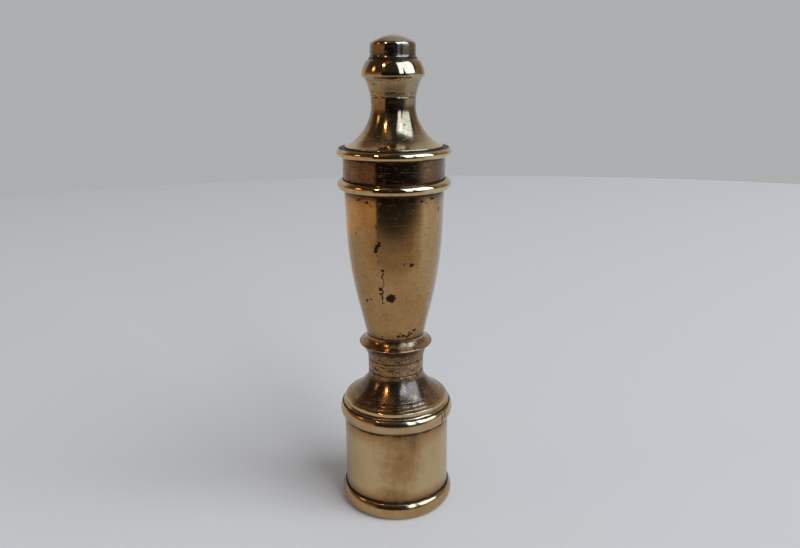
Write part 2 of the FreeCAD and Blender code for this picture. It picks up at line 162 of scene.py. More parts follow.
def outward(loop):
    """Unit normals that point out of the metal: the direction of travel, turned a quarter to the right."""
    along = np.roll(loop, -1, axis=0) - np.roll(loop, 1, axis=0)
    return np.column_stack([along[:, 1], -along[:, 0]]) / np.linalg.norm(along, axis=1)[:, None]


def picked(loop):
    """Places along the loop: a step ends when its length over LONGEST, in millimetres, and its turn over
    SHARPEST, in degrees, add up to one."""
    normal = outward(loop)
    turn = np.arccos(np.clip((normal * np.roll(normal, -1, axis=0)).sum(1), -1, 1))
    share = np.cumsum(STEP / LONGEST + np.degrees(turn) / SHARPEST)
    return np.unique(np.searchsorted(share, np.arange(share[0], share[-1], 1.0)))


square = 5.0 * outline((0, 0), (1, 0), (1, 1), (0, 1))
eased_square = blurred(walked(square, False), EASE)
corner_gap = np.linalg.norm(eased_square - square[2], axis=1).min()
print("a square's corner is eased by", round(corner_gap, 3), "mm and",
      len(picked(eased_square)), "points are kept of", len(eased_square))

# %% [markdown]
# ## From points to a mesh
# Every piece here is a grid of points that closes round the axis. One function joins such a grid with
# four-sided faces, one closes its ends on the axis with fans of triangles, and one puts points and faces into
# a mesh, with the numbers at each point that the finishes read. Blender's Screw modifier could spin a section
# too, but here the points and their numbers are arrays already.

# %% Make a mesh piece
ROUND = 240


def mesh_piece(name, vertices, faces, marks):
    """A mesh object in metres, smooth all over, with one number for each point under each name in marks."""
    mesh = bpy.data.meshes.new(name)
    mesh.from_pydata(vertices * MM, [], faces)
    for mark, values in marks.items():
        mesh.attributes.new(mark, "FLOAT", "POINT").data.foreach_set("value", np.asarray(values, np.float32))
    mesh.shade_smooth()
    mesh.update()
    piece = bpy.data.objects.new(name, mesh)
    bpy.context.scene.collection.objects.link(piece)
    print(name, len(mesh.vertices), "points", len(mesh.polygons), "faces")
    return piece


def grid_faces(rows, columns, closed):
    """Four-sided faces of a grid that is closed round its columns, and round its rows too if closed."""
    row, column = np.meshgrid(np.arange(rows if closed else rows - 1), np.arange(columns), indexing="ij")
    nearby, above = (column + 1) % columns, (row + 1) % rows
    corners = [(row, column), (row, nearby), (above, nearby), (above, column)]
    return np.stack([r * columns + c for r, c in corners], -1).reshape(-1, 4)


def capped_faces(rings):
    """Faces of a stack of rings between a first and a last point on the axis, with a fan to each."""
    here, there = np.arange(ROUND), (np.arange(ROUND) + 1) % ROUND
    last = rings * ROUND + 1
    first_fan = np.column_stack([np.zeros(ROUND, int), there + 1, here + 1])
    last_fan = np.column_stack([last - ROUND + here, last - ROUND + there, np.full(ROUND, last)])
    return (grid_faces(rings, ROUND, False) + 1).tolist() + first_fan.tolist() + last_fan.tolist()


print("a ring has", ROUND, "points, one at every", 360 / ROUND, "degrees")

# %% [markdown]
# ## Where dirt, rubbed edges and painted shade lie
# On old turned brass, dirt stays in the corners and the edges are rubbed bright. Blender could bake ambient
# occlusion to find them, but the section tells it sooner: it is blurred once more, and where the metal lies
# inside its own blur it is hollow, and where it lies outside it is an edge. So each point of a section gets
# six numbers for its finish: how far along the section it lies, how much dirt its corner holds, how sheltered
# it is, how polished, how brown, and whether it is inside the mill. The dirt number also holds painted shade
# where a piece lists extra seams, the brown number holds painted shade under beads, rings and edges, and
# being sheltered browns a point both as patina and as painted shade.

# %% Number the points of a section
CREVICE, NOOK = 0.45, 1.7
HOLLOW_GAIN = 3.0
SEAM_REACH = 0.14


def hollowness(loop, reach):
    """How far the section lies inside its own blur, over reach and times a gain: under 0 on an edge."""
    return ((blurred(loop, reach) - loop) * outward(loop)).sum(1) / reach * HOLLOW_GAIN


def point_numbers(loop, wear_and_shade, seams, inside):
    """The six numbers along the loop. Polish and age run straight between the rows (height, polish, age) of
    wear, and that browning is partly painted shade. grime is hollowness, or exp(-distance / SEAM_REACH) from
    a seam's height where that is more: dirt in the corners, and painted shade at the extra seams some pieces
    list. A point is indoors where its radius is under that of inside at its height."""
    r, z = loop.T
    grime = np.clip(hollowness(loop, CREVICE), -1, 1)
    for height in seams:
        grime = np.maximum(grime, np.exp(-np.abs(z - height) / SEAM_REACH))
    heights, polish, age = np.array(wear_and_shade).T
    return {"trace": np.arange(len(loop)) * STEP, "grime": grime,
            "nook": np.clip(hollowness(loop, NOOK), 0, 1),
            "polish": np.interp(z, heights, polish), "age": np.interp(z, heights, age),
            "indoors": np.zeros(len(loop)) if inside is None else (r < inside(z)) * 1.0}


print("hollowness at the square's corner", round(hollowness(eased_square, CREVICE).min(), 2))

# %% [markdown]
# ## Turning the section
# Turning is one formula: each point goes round the axis at every angle, and its six numbers go with it. Lines
# that the tool cut are carved into the section before it is turned. A boolean could cut them afterwards, but
# it would need a ring for each line.

# %% Turn a section into a mesh
FACES_OUT = 0.2


def carved(section, poles, grooves):
    """The eased section, with each groove (height, depth, width) cut in where the metal faces outwards: its
    depth times exp(-((z - height) / width)^2)."""
    loop = blurred(walked(section, poles), EASE)
    normal = outward(loop)
    for height, depth, width in grooves:
        cut = depth * np.exp(-((loop[:, 1] - height) / width) ** 2) * (normal[:, 0] > FACES_OUT)
        loop = loop - cut[:, None] * normal
    return loop


def turned(name, section, wear_and_shade, seams=(), grooves=(), inside=None, poles=False):
    """Point = (r cos a, r sin a, z) for each (r, z) of the carved section and each of ROUND angles a. With
    poles, the section starts and ends on the axis."""
    loop = carved(section, poles, grooves)
    chosen = picked(loop)
    if poles:
        half = len(loop) // 2
        chosen = np.r_[0, chosen[(chosen > 1) & (chosen < half - 1)], half]
    rows = {mark: values[chosen] for mark, values in point_numbers(loop, wear_and_shade, seams, inside).items()}
    r, z = loop[chosen].T
    angle = np.linspace(0, 2 * math.pi, ROUND, endpoint=False)
    points = np.stack([r[:, None] * np.cos(angle), r[:, None] * np.sin(angle), z[:, None] + 0 * angle], -1)
    if not poles:
        marks = {mark: np.repeat(values, ROUND) for mark, values in rows.items()}
        return mesh_piece(name, points.reshape(-1, 3), grid_faces(len(r), ROUND, True).tolist(), marks)
    vertices = np.vstack([(0, 0, z[0]), points[1:-1].reshape(-1, 3), (0, 0, z[-1])])
    marks = {mark: np.r_[v[0], np.repeat(v[1:-1], ROUND), v[-1]] for mark, v in rows.items()}
    return mesh_piece(name, vertices, capped_faces(len(r) - 2), marks)


grooved_square = carved(square, False, [(square.mean(), 0.1, 0.2)])
print("a groove cuts the square back by", round(np.abs(grooved_square - eased_square).max(), 3), "mm")

# %% [markdown]
# ## Shader arithmetic
# A finish is a sum of masks, and masks are easier to read as sums than as a web of nodes. One small class
# wraps a node's output, so that plus, minus and times add Math nodes, and one method makes every other node.

# %% A socket that does arithmetic
class Signal:
    """A node's output that takes part in Python arithmetic: each operator adds one Math node. Without a
    socket it is only a place to start making nodes."""

    def __init__(self, tree, socket=None):
        self.tree, self.socket = tree, socket

    def make(self, kind, settings=None, inputs=None, output=0):
        """Adds a node of that kind: its settings first, then the values or links of its sockets."""
        node = self.tree.nodes.new(kind)
        for name, value in (settings or {}).items():
            setattr(node, name, value)
        for key, value in (inputs or {}).items():
            if isinstance(value, Signal):
                self.tree.links.new(value.socket, node.inputs[key])
            else:
                node.inputs[key].default_value = value
        return Signal(self.tree, node.outputs[output])

    def math(self, operation, *values):
        """A Math node on numbers."""
        return self.make("ShaderNodeMath", {"operation": operation}, dict(enumerate(values)))

    def vector(self, operation, *values, output=0):
        """A Vector Math node on vectors."""
        return self.make("ShaderNodeVectorMath", {"operation": operation}, dict(enumerate(values)), output)

    def __add__(self, other):
        return self.math("ADD", self, other)

    def __sub__(self, other):
        return self.math("SUBTRACT", self, other)

    def __rsub__(self, other):
        return self.math("SUBTRACT", other, self)

    def __mul__(self, other):
        return self.math("MULTIPLY", self, other)

    def __truediv__(self, other):
        return self.math("DIVIDE", self, other)

    def __rtruediv__(self, other):
        return self.math("DIVIDE", other, self)

    __radd__, __rmul__ = __add__, __mul__

    def over(self, other):
        """The greater of the two."""
        return self.math("MAXIMUM", self, other)

    def ramp(self, low, high):
        """0 at low, 1 at high and a smooth S between them."""
        settings = {"interpolation_type": "SMOOTHSTEP"}
        return self.make("ShaderNodeMapRange", settings, {"Value": self, "From Min": low, "From Max": high})

    def mix(self, first, second):
        """A colour: first where this is 0, second where it is 1."""
        return self.make("ShaderNodeMix", {"data_type": "RGBA"}, {0: self, 6: first, 7: second}, 2)

    def join(self, y, z):
        """A vector of this number, y and z."""
        return self.make("ShaderNodeCombineXYZ", None, {0: self, 1: y, 2: z})

    def part(self, number):
        """This vector's x, y or z, by its number."""
        return self.make("ShaderNodeSeparateXYZ", None, {0: self}, number)

    def times(self, factors):
        """This vector, each of its parts multiplied by its own factor."""
        return self.vector("MULTIPLY", self, factors)

    def length(self):
        """This vector's length."""
        return self.vector("LENGTH", self, output="Value")

    def noise(self, scale, detail=3.0, roughness=0.5, distortion=0.0, output=0):
        """Cloudy noise from 0 to 1 at this vector, with about scale clouds in each unit of it."""
        inputs = {"Vector": self, "Scale": scale, "Detail": detail, "Roughness": roughness,
                  "Distortion": distortion}
        return self.make("ShaderNodeTexNoise", None, inputs, output)

    def bump(self, strength, depth):
        """The normal of a surface that this height raises by depth, in millimetres."""
        inputs = {"Strength": strength, "Distance": depth * MM, "Height": self}
        return self.make("ShaderNodeBump", None, inputs)

    def carried(self, name, output="Fac"):
        """What the mesh carries at each point under that name."""
        return self.make("ShaderNodeAttribute", {"attribute_name": name}, None, output)


print("a Signal makes", ", ".join(name for name in vars(Signal) if not name.startswith("_")))

# %% [markdown]
# ## Starting a material
# All finishes start the same way: a new material with Blender's main shader, and the surface's own place in
# millimetres, so that the size of a pattern is written as a real size. One more helper links or sets a
# shader's sockets by name.

# %% Start and feed a material
def blank(name):
    """A new material and its main shader."""
    material = bpy.data.materials.new(name)
    material.use_nodes = True
    return material, material.node_tree.nodes["Principled BSDF"]


def finish(name):
    """A new material, its main shader, and a Signal of the surface's place in millimetres."""
    material, shader = blank(name)
    metres = Signal(material.node_tree).make("ShaderNodeTexCoord", output="Object")
    return material, shader, metres.times((1 / MM,) * 3)


def feed(shader, **inputs):
    """Links or sets a shader's sockets, whose names are written with _ for a space."""
    for name, value in inputs.items():
        socket = shader.inputs[name.replace("_", " ")]
        if isinstance(value, Signal):
            value.tree.links.new(value.socket, socket)
        else:
            socket.default_value = value


print("a finish counts", 1 / MM, "units to the metre")

# %% [markdown]
# ## Marks placed one by one
# A split, a round pit or a stained patch sits where it sits, and noise can't be told to put it there. A
# painted image could, but it would need a file. So each mark is an ellipse on the front of a piece, at a
# place to the right of the axis and a height. Noise bends the place before it is measured, so that no mark
# has a clean edge.

# %% Spots on the front
SPOT_EDGE = 1.2
WANDER_SCALE = 1.2
SIDE_ON, FACING = -1.0, -3.0


def spots(place, marks, core, ragged):
    """1 inside each mark (x, z, half width, half height) on the front, fading out from core to SPOT_EDGE of
    its size, after noise has bent the place by up to half of ragged each way."""
    wander = place.noise(WANDER_SCALE, 4.0, output="Color")
    bent = place.vector("MULTIPLY_ADD", wander, (ragged, 0, ragged), place)
    most = 0.0
    for mark_x, mark_z, width, height in marks:
        centre = (mark_x + ragged / 2, 0, mark_z + ragged / 2)
        apart = bent.vector("SUBTRACT", bent, centre).times((1 / width, 0, 1 / height))
        most = apart.length().ramp(SPOT_EDGE, core).over(most)
    return most * place.part(1).ramp(SIDE_ON, FACING)


print("a mark reaches to", SPOT_EDGE, "of its size, from y =", SIDE_ON, "mm forwards")

# %% [markdown]
# ## Old brass: its patterns
# Clean brass is a metal of one warm colour, and all the rest is what happened to it. The patterns come first:
# fine rings left by the turning tool, broken rings where a cloth has rubbed them out, upright hairs, wide
# clouds, smears and grain. The rings follow the section, so their noise uses the distance along it and the
# direction round the axis, which has no seam.

# %% Patterns in the brass
POINT_NUMBERS = "trace", "grime", "nook", "polish", "age", "indoors"


def patterns(place):
    """The numbers that the mesh carries, and the noises that the brass is mixed from, by name. dull is what
    isn't polished, and lined is its square, so that tool marks show only where little was polished."""
    p = SimpleNamespace(**{name: place.carried(name) for name in POINT_NUMBERS})
    x, y, z = (place.part(number) for number in range(3))
    radius = place.times((1, 1, 0)).length()
    round_x, round_y = x / radius, y / radius
    p.fine_rings = (p.trace * 3.2).join(round_x * 1.3, round_y * 1.3).noise(1.0, 5.0, 0.78)
    p.broken_rings = (p.trace * 2.6).join(round_x * 3.4, round_y * 3.4).noise(1.0, 4.0, 0.68)
    p.hairs = (round_x * 60.0).join(round_y * 60.0, z * 0.12).noise(1.0, 3.0, 0.7)
    p.clouds = place.times((0.20, 0.20, 0.12)).noise(1.0, 3.0, 0.55)
    p.smears = place.noise(0.6, 5.0, 0.62)
    p.grain = place.noise(1.9, 5.0, 0.75)
    p.flecks = place.noise(1.5, 2.0, 0.5, 0.6)
    p.dull = 1 - p.polish
    p.lined = p.dull * p.dull
    return p


print("the brass reads", ", ".join(POINT_NUMBERS), "at each point")

# %% [markdown]
# ## Old brass: browning, dirt and painted shade
# Age browns the metal in soft patches, more in hollows, and along the tool's rings, and in hollows and under
# beads and rings part of this browning is painted shade. Dirt is black and no metal at all: it is packed into
# corners, where widened seams add painted shade, lies in the broken rings and fills small pits. Both are
# masks mixed from the patterns, so that every piece can have its own share of each.

# %% Browning, dirt and painted shade
MEAN = 0.5
SPECK_LOW, SPECK_HIGH, PIT_SHARE = 0.93, 1.0, 0.12


def ageing_and_shade(p, blotch, mottle, rings, streaks):
    """The age at each point, raised where the point is sheltered as patina and as painted shade, plus each
    pattern less its mean, times its amount.
    """
    browned_and_shaded = p.age + (p.clouds - MEAN) * 1.2 * blotch + (p.smears - MEAN) * 0.8 * blotch + p.nook * 0.4
    browned_and_shaded = browned_and_shaded + (p.fine_rings - MEAN) * rings * (p.lined * 0.8 + 0.2)
    browned_and_shaded = browned_and_shaded + (p.grain - MEAN) * (p.dull * 0.8 + 0.2) * mottle
    return browned_and_shaded + (p.hairs - MEAN) * 0.5 * streaks


def dirtying(p, dashes, pits):
    """The greatest of three masks: dirt packed into corners and indoors, with painted shade at widened seams,
    specks, and dashes along rings.
    """
    black_lines = (p.broken_rings + (p.smears - MEAN) * 0.4).ramp(0.55, 0.63) * (p.lined * dashes)
    specks = p.flecks + p.smears * 0.25 + p.nook * 0.16
    specks = specks.ramp(SPECK_LOW - PIT_SHARE * pits, SPECK_HIGH - PIT_SHARE * pits)
    packed = ((p.grime - 0.25) * 1.9 + (p.smears - MEAN) * 1.8).ramp(0.0, 0.8) * p.grime.ramp(0.02, 0.3)
    return (packed + p.indoors * 0.45).ramp(0.0, 1.0).over(specks).over(black_lines)


print("specks start at", SPECK_LOW, "without pits, and at", round(SPECK_LOW - PIT_SHARE, 2), "with pits at 1")

# %% [markdown]
# ## Old brass: the finish
# The colour runs from clean through tan to brown as the brass grows old and where shade is painted, edges
# that stand proud are rubbed clean again, and dirt covers all. Polished parts have sharp reflections and dull
# ones soft, and the tool's rings stretch them, which the shader's own anisotropy does. Image textures could
# do all this, but masks fit any shape.

# %% The brass finish
BRASS = (0.60, 0.442, 0.230, 1), (0.42, 0.237, 0.090, 1), (0.135, 0.075, 0.038, 1)
DIRT = (0.018, 0.007, 0.002, 1)


def brass(name, colours=BRASS, blotch=0.5, mottle=1.0, rings=0.5, dashes=0.0, streaks=0.0, pits=0.3,
          marks=(), stains=(), ragged=1.6, mirror=0.10, satin=0.34, brushed=0.8, haze=0.15):
    """Metal whose colours run from clean through tan to brown as the number aged goes from 0 to 1, and aged
    holds painted shade as well as patina, with wide patches of blotch and small ones of mottle. rings deepens
    the tool marks, dashes adds dark broken lines along them, streaks adds upright scratches and pits adds
    black specks.
    marks are black spots and stains are soft brown patches, at places of their own, with edges bent by ragged
    millimetres of noise. mirror and satin are the roughness of the most and the least polished parts, brushed
    is how far the tool marks stretch reflections, and haze is a thin dull film."""
    material, shader, place = finish(name)
    p = patterns(place)
    browned_and_shaded = ageing_and_shade(p, blotch, mottle, rings, streaks)
    if stains:
        browned_and_shaded = browned_and_shaded + spots(place, stains, 0.0, ragged) * (p.smears * 0.5 + 0.22)
    dirt = dirtying(p, dashes, pits)
    if marks:
        dirt = dirt.over(spots(place, marks, 0.75, ragged))
    clean, tan, brown = colours
    rubbed = (0 - p.grime).ramp(0.10, 0.6) * 0.7
    metal = browned_and_shaded.ramp(0.45, 1.0).mix(browned_and_shaded.ramp(0.0, 0.55).mix(clean, tan), brown)
    rough = satin + p.polish * (mirror - satin) + (p.smears - MEAN) * 0.08
    rough = rough + (p.grain - MEAN) * p.dull * 0.12 + dirt * 0.35
    height = (p.fine_rings * (p.lined + 0.12) + p.broken_rings * p.lined * 0.5) * rings
    height = height + p.hairs * streaks * 0.2 + p.grain * p.dull * 0.15 - dirt * 0.35 + p.clouds * 0.4
    bare = 1 - dirt
    feed(shader, Base_Color=dirt.mix(rubbed.mix(metal, clean), DIRT), Roughness=rough, Metallic=bare,
         Normal=height.bump(0.7, 0.03), Specular_IOR_Level=0.1, Anisotropic=brushed,
         Anisotropic_Rotation=0.25, Coat_Weight=haze * bare, Coat_Roughness=0.45)
    print(name, len(material.node_tree.nodes), "nodes,", len(marks), "marks,", len(stains), "stains")
    return material


print("brass goes from", BRASS[0][:3], "where it is clean to", BRASS[2][:3], "where it is brown")

# %% [markdown]
# ## The base
# The base is a tube with a bead at each end, and the burr ring sits on a ledge inside it. It screws onto the
# pedestal above. A cylinder and two rings could be joined for it, but one section has no seams to hide. Its
# wall is satin, with upright scratches and browner patches, and its two beads are polished, with a little
# painted shade browning them. Dirt lies on the shoulder of the foot's bead and in a line under the top edge,
# and both lines are widened with painted shade.

# %% Turn the base
BASE_WALL = BASE_BEAD - 1.05
FOOT_BEAD_TOP, TOP_BEAD_FOOT = FOOT + 4.6, BASE_TOP - 4.5
BASE_BORE = STACK + 0.05
LEDGE, LEDGE_FOOT = BASE_BORE - 2.5, FOOT + 3.0
IN_FOOT, IN_BASE = 10.0, 12.0

base_section = outline(
    (LEDGE, LEDGE_TOP), (LEDGE, LEDGE_FOOT), (LEDGE + 1.5, FOOT),
    bow((BASE_WALL + 0.2, FOOT), (BASE_BEAD, FOOT + 2.3), (BASE_WALL, FOOT_BEAD_TOP)),
    bow((BASE_WALL, TOP_BEAD_FOOT), (BASE_BEAD, BASE_TOP - 2.25), (RIM, BASE_TOP)),
    (BASE_BORE, BASE_TOP), (BASE_BORE, LEDGE_TOP))
# The beads' browning of 0.25 to 0.36 is painted shade; the rest of the table is polish and patina.
base_wear_and_shade = [
    (FOOT, 0.9, 0.36), (FOOT_BEAD_TOP - 0.2, 1.0, 0.32), (FOOT_BEAD_TOP + 0.2, 0.35, 0.75),
    (FOOT_BEAD_TOP + 1.2, 0.35, 0.38), (FOOT_BEAD_TOP + 3.0, 0.35, 0.12), (TOP_BEAD_FOOT - 4.5, 0.35, 0.12),
    (TOP_BEAD_FOOT - 1.5, 0.35, 0.38), (TOP_BEAD_FOOT - 0.2, 0.35, 0.55), (TOP_BEAD_FOOT + 0.2, 1.0, 0.25),
    (BASE_TOP, 1.0, 0.28)]
# The seams 0.15 and 0.3 under the foot bead's top and 0.5 and 0.65 under the top edge widen the dirt with
# painted shade.
base_seams = [FOOT_BEAD_TOP, FOOT_BEAD_TOP - 0.15, FOOT_BEAD_TOP - 0.3, BASE_TOP - 0.5, BASE_TOP - 0.65]
base_scratches = [(11.15, 25.3, 0.13, 1.4), (11.95, 25.6, 0.12, 1.1), (11.5, 24.6, 0.08, 0.5)]
base_stains = [(3.8, 19.2, 3.0, 4.5), (0.8, 15.5, 6.6, 9.5), (-1.0, 7.4, 5.0, 2.6)]

base = turned("base_tube", base_section, base_wear_and_shade, base_seams,
              inside=lambda z: np.where(z < LEDGE_FOOT, IN_FOOT, IN_BASE))
base.data.materials.append(brass(
    "base_brass", blotch=0.28, mottle=0.35, rings=0.12, streaks=0.6, pits=0.1, marks=base_scratches,
    stains=base_stains, ragged=0.6, mirror=0.14, satin=0.38, brushed=0.3))

# %% [markdown]
# ## The pedestal
# The pedestal is the hollow waist under the vase: a flared foot with a thin rim, a neck with fine turned
# lines, and a flared ring that the vase stands on. Its spigot goes up into the vase and its skirt goes down
# into the base. The neck was never polished, so the tool's rings still show there. The flare is browner, and
# a scatter of small stains breaks up the light on its front. They are drawn at random from a fixed seed, so
# that their places and sizes have limits, which noise can't be given.

# %% Turn the pedestal
RIM_TOP = BASE_TOP + 0.9
FLARE_TOP, WAIST_TOP = RIM_TOP + 6.3, RIM_TOP + 9.6
RING_LOW, RING_HIGH = RIM_TOP + 14.0, RIM_TOP + 14.5
WAIST, RING_EDGE, VASE_FOOT_RADIUS = 6.82, 8.97, 7.04
RING_SHOULDER = RING_EDGE - 0.25
LAND, SPIGOT = STACK - 1.6, 6.24
THROAT = min(WAIST - 1.35, SPIGOT - 0.7)
HOLLOW_FOOT = BASE_TOP - 0.5
IN_SKIRT, IN_FLARE, IN_WAIST = 11.6, 5.9, 5.6
FIRST_LINE, LAST_LINE = FLARE_TOP + 0.6, WAIST_TOP + 0.5

pedestal_section = outline(
    (LAND, HOLLOW_FOOT), (LAND, SKIRT_FOOT), (STACK, SKIRT_FOOT), (STACK, BASE_TOP), (RIM, BASE_TOP),
    bend((RIM, RIM_TOP), (WAIST, RIM_TOP + 3.3), (WAIST, FLARE_TOP), 0.76),
    bend((WAIST, WAIST_TOP), (WAIST, RING_LOW), (RING_SHOULDER, RING_LOW), 0.42),
    bow((RING_SHOULDER, RING_LOW), (RING_EDGE, (RING_LOW + RING_HIGH) / 2), (RING_SHOULDER, RING_HIGH)),
    bend((RING_SHOULDER, RING_HIGH), (VASE_FOOT_RADIUS, RING_HIGH + 0.5), (VASE_FOOT_RADIUS, VASE_FOOT), 1.0),
    (SPIGOT, VASE_FOOT), (SPIGOT, SPIGOT_TOP), (THROAT, SPIGOT_TOP),
    bend((THROAT, HOLLOW_FOOT + 6.3), (THROAT, HOLLOW_FOOT), (LAND, HOLLOW_FOOT)))
# Just under the ring the brown rises to 0.95: dirt, and painted shade under its overhang.
pedestal_wear_and_shade = [
    (BASE_TOP, 1.0, 0.10), (RIM_TOP, 0.95, 0.15), (RIM_TOP + 0.5, 0.60, 0.72), (FLARE_TOP - 1.2, 0.60, 0.80),
    (FLARE_TOP, 0.25, 0.58), (RING_LOW - 2.0, 0.25, 0.62), (RING_LOW - 0.6, 0.4, 0.95),
    (RING_LOW, 0.6, 0.64), (VASE_FOOT, 0.65, 0.58)]
pedestal_lines = [
    (RIM_TOP + 0.45, 0.04, 0.06), (RIM_TOP + 0.95, 0.04, 0.08), (RIM_TOP + 1.6, 0.03, 0.09),
    (FIRST_LINE, 0.09, 0.14), (FLARE_TOP + 2.1, 0.04, 0.10), (FLARE_TOP + 3.05, 0.04, 0.10),
    (LAST_LINE, 0.07, 0.12), (WAIST_TOP + 1.8, 0.04, 0.10), (WAIST_TOP + 2.8, 0.04, 0.10)]
PEDESTAL_COLOURS = (0.60, 0.442, 0.230, 1), (0.42, 0.240, 0.098, 1), (0.115, 0.073, 0.047, 1)
STAIN_COUNT, STAIN_LEAST, STAIN_MOST = 30, (1.8, 29.6, 0.5, 0.35), (6.4, 33.8, 0.9, 0.6)
draw = np.random.default_rng(7)
flare_stains = draw.uniform(STAIN_LEAST, STAIN_MOST, (STAIN_COUNT, 4)).tolist()


def inside_pedestal(z):
    """A radius within the pedestal's wall at height z, in three steps."""
    return np.where(z < BASE_TOP, IN_SKIRT, np.where(z < FLARE_TOP, IN_FLARE, IN_WAIST))


pedestal = turned("pedestal_stem", pedestal_section, pedestal_wear_and_shade,
                  [BASE_TOP, FIRST_LINE, LAST_LINE, VASE_FOOT], pedestal_lines, inside_pedestal)
pedestal.data.materials.append(brass(
    "pedestal_brass", PEDESTAL_COLOURS, blotch=0.25, mottle=2.8, rings=1.5, dashes=1.6, pits=0.6,
    stains=flare_stains, satin=0.34))

# %% [markdown]
# ## The hopper
# The vase holds the peppercorns. Two beads stand round its top with a plain band between them, left brown
# from the lathe. A Solidify modifier could give it a wall, but the section is drawn on both sides instead:
# the inside repeats the outside at a smaller radius, down to the socket that takes the pedestal's spigot.

# %% Turn the hopper
BAND = LIP + 0.55
BEAD, BEAD_HALF = BAND + 1.44, 1.125
VASE_TOP_RADIUS = BAND - 0.15
BAND_TOP = HOPPER_TOP - 1.85
BAND_FOOT = BAND_TOP - 5.4
VASE_TOP = BAND_FOOT - 2 * BEAD_HALF
HOPPER_WALL, BEND_REACH = 1.4, 9.2
MOUTH = BAND - HOPPER_WALL
BEND = np.array([VASE_TOP_RADIUS - 0.68, VASE_FOOT + 17.2])
VASE_LOW, VASE_HIGH = np.array([VASE_FOOT_RADIUS, VASE_FOOT]), np.array([VASE_TOP_RADIUS, VASE_TOP])
BEND_LOW = BEND + (VASE_LOW - BEND) * BEND_REACH / (BEND - VASE_LOW)[1]
BEND_HIGH = BEND + (VASE_HIGH - BEND) * BEND_REACH / (VASE_HIGH - BEND)[1]
WALL = np.array([HOPPER_WALL, 0])
SOCKET = SPIGOT + 0.05
WASHER_SEAT, WASHER_FOOT = LIP - 0.05, HOPPER_TOP - 0.5
FOOT_SLOPE = (BEND - VASE_LOW)[0] / (BEND - VASE_LOW)[1]

hopper_section = outline(
    (SOCKET, SPIGOT_TOP), (SOCKET, VASE_FOOT), VASE_LOW, bend(BEND_LOW, BEND, BEND_HIGH, 1.0),
    bow(VASE_HIGH, (BEAD, VASE_TOP + BEAD_HALF), (BAND, BAND_FOOT)),
    bow((BAND, BAND_TOP), (BEAD, BAND_TOP + BEAD_HALF), (BAND + 0.45, HOPPER_TOP)),
    (WASHER_SEAT, HOPPER_TOP), (WASHER_SEAT, WASHER_FOOT), (MOUTH, WASHER_FOOT), (MOUTH, BAND_FOOT),
    VASE_HIGH - WALL, bend(BEND_HIGH - WALL, BEND - WALL, BEND_LOW - WALL, 1.0),
    (VASE_FOOT_RADIUS + FOOT_SLOPE * (SPIGOT_TOP - VASE_FOOT) - HOPPER_WALL, SPIGOT_TOP))
# Towards the upper bead the brown rises from 0.46 to 0.95: dirt, and painted shade under the bead.
hopper_wear_and_shade = [
    (VASE_FOOT, 0.5, 0.95), (VASE_FOOT + 0.9, 0.6, 0.66), (VASE_FOOT + 2.4, 0.66, 0.50),
    (VASE_TOP - 3.2, 0.70, 0.46), (VASE_TOP - 1.4, 0.66, 0.60), (VASE_TOP - 0.1, 0.5, 0.95),
    (VASE_TOP + 0.3, 1.0, 0.20), (BAND_FOOT - 0.2, 1.0, 0.20), (BAND_FOOT + 0.4, 0.35, 0.85),
    (BAND_TOP - 0.4, 0.35, 0.85), (BAND_TOP + 0.2, 1.0, 0.15), (HOPPER_TOP, 1.0, 0.20)]
wall_heights = [VASE_FOOT, BEND_LOW[1], BEND[1], BEND_HIGH[1], VASE_TOP, HOPPER_TOP]
wall_middle = [SOCKET + 0.3, BEND_LOW[0] - 0.7, BEND[0] - 1.1, BEND_HIGH[0] - 0.7, MOUTH + 0.5, MOUTH + 0.3]

hopper = turned("hopper_vase", hopper_section, hopper_wear_and_shade, [HOPPER_TOP, VASE_FOOT],
                inside=lambda z: np.interp(z, wall_heights, wall_middle))

# %% [markdown]
# ## The marks on the vase
# The front of the vase is full of old marks: a round pit, a split that runs down the left, a few small pits,
# and specks that gather under the bead and round the foot. They could be left to noise, but they are what
# anyone would know this mill by, so each is placed one by one. The rest is satin, with finer specks from
# noise.

# %% Marks on the vase
ROUND_PIT = [(-0.95, 56.65, 1.08, 1.2)]
SPLIT_HEAD = [(-4.45, 68.5, 0.52, 0.8), (-4.0, 69.2, 0.45, 0.7), (-3.55, 69.9, 0.38, 0.8)]
SPLIT = [
    (-4.2, 67.2, 0.18, 0.3), (-3.7, 65.6, 0.12, 0.8), (-2.95, 63.5, 0.42, 0.42), (-2.75, 62.6, 0.16, 0.4),
    (-3.0, 61.9, 0.14, 0.45), (-2.75, 61.1, 0.13, 0.5), (-2.6, 60.3, 0.13, 0.5), (-2.95, 59.6, 0.15, 0.5),
    (-3.25, 58.9, 0.28, 0.5), (-2.95, 58.2, 0.2, 0.5), (-3.3, 57.6, 0.3, 0.45), (-2.95, 57.0, 0.22, 0.5),
    (-3.15, 56.3, 0.16, 0.35), (-2.86, 55.3, 0.24, 0.3)]
SMALL_PITS = [
    (3.9, 64.8, 0.6, 0.45), (2.3, 65.2, 0.16, 0.5), (-6.7, 55.1, 0.3, 0.38), (-5.7, 55.7, 0.16, 0.3),
    (-3.7, 76.9, 0.22, 0.3), (-3.75, 76.1, 0.18, 0.4), (-4.25, 73.7, 0.16, 0.6), (9.9, 76.8, 0.22, 0.5),
    (6.9, 71.5, 0.16, 0.22)]
ROUND_FOOT = [
    (0.6, 46.5, 0.45, 0.3), (1.6, 46.3, 0.5, 0.36), (2.6, 46.2, 0.6, 0.4), (3.5, 46.7, 0.55, 0.42),
    (4.3, 47.5, 0.35, 0.4), (3.2, 47.4, 0.3, 0.3), (1.2, 47.2, 0.3, 0.25), (-3.0, 45.9, 0.26, 0.3)]
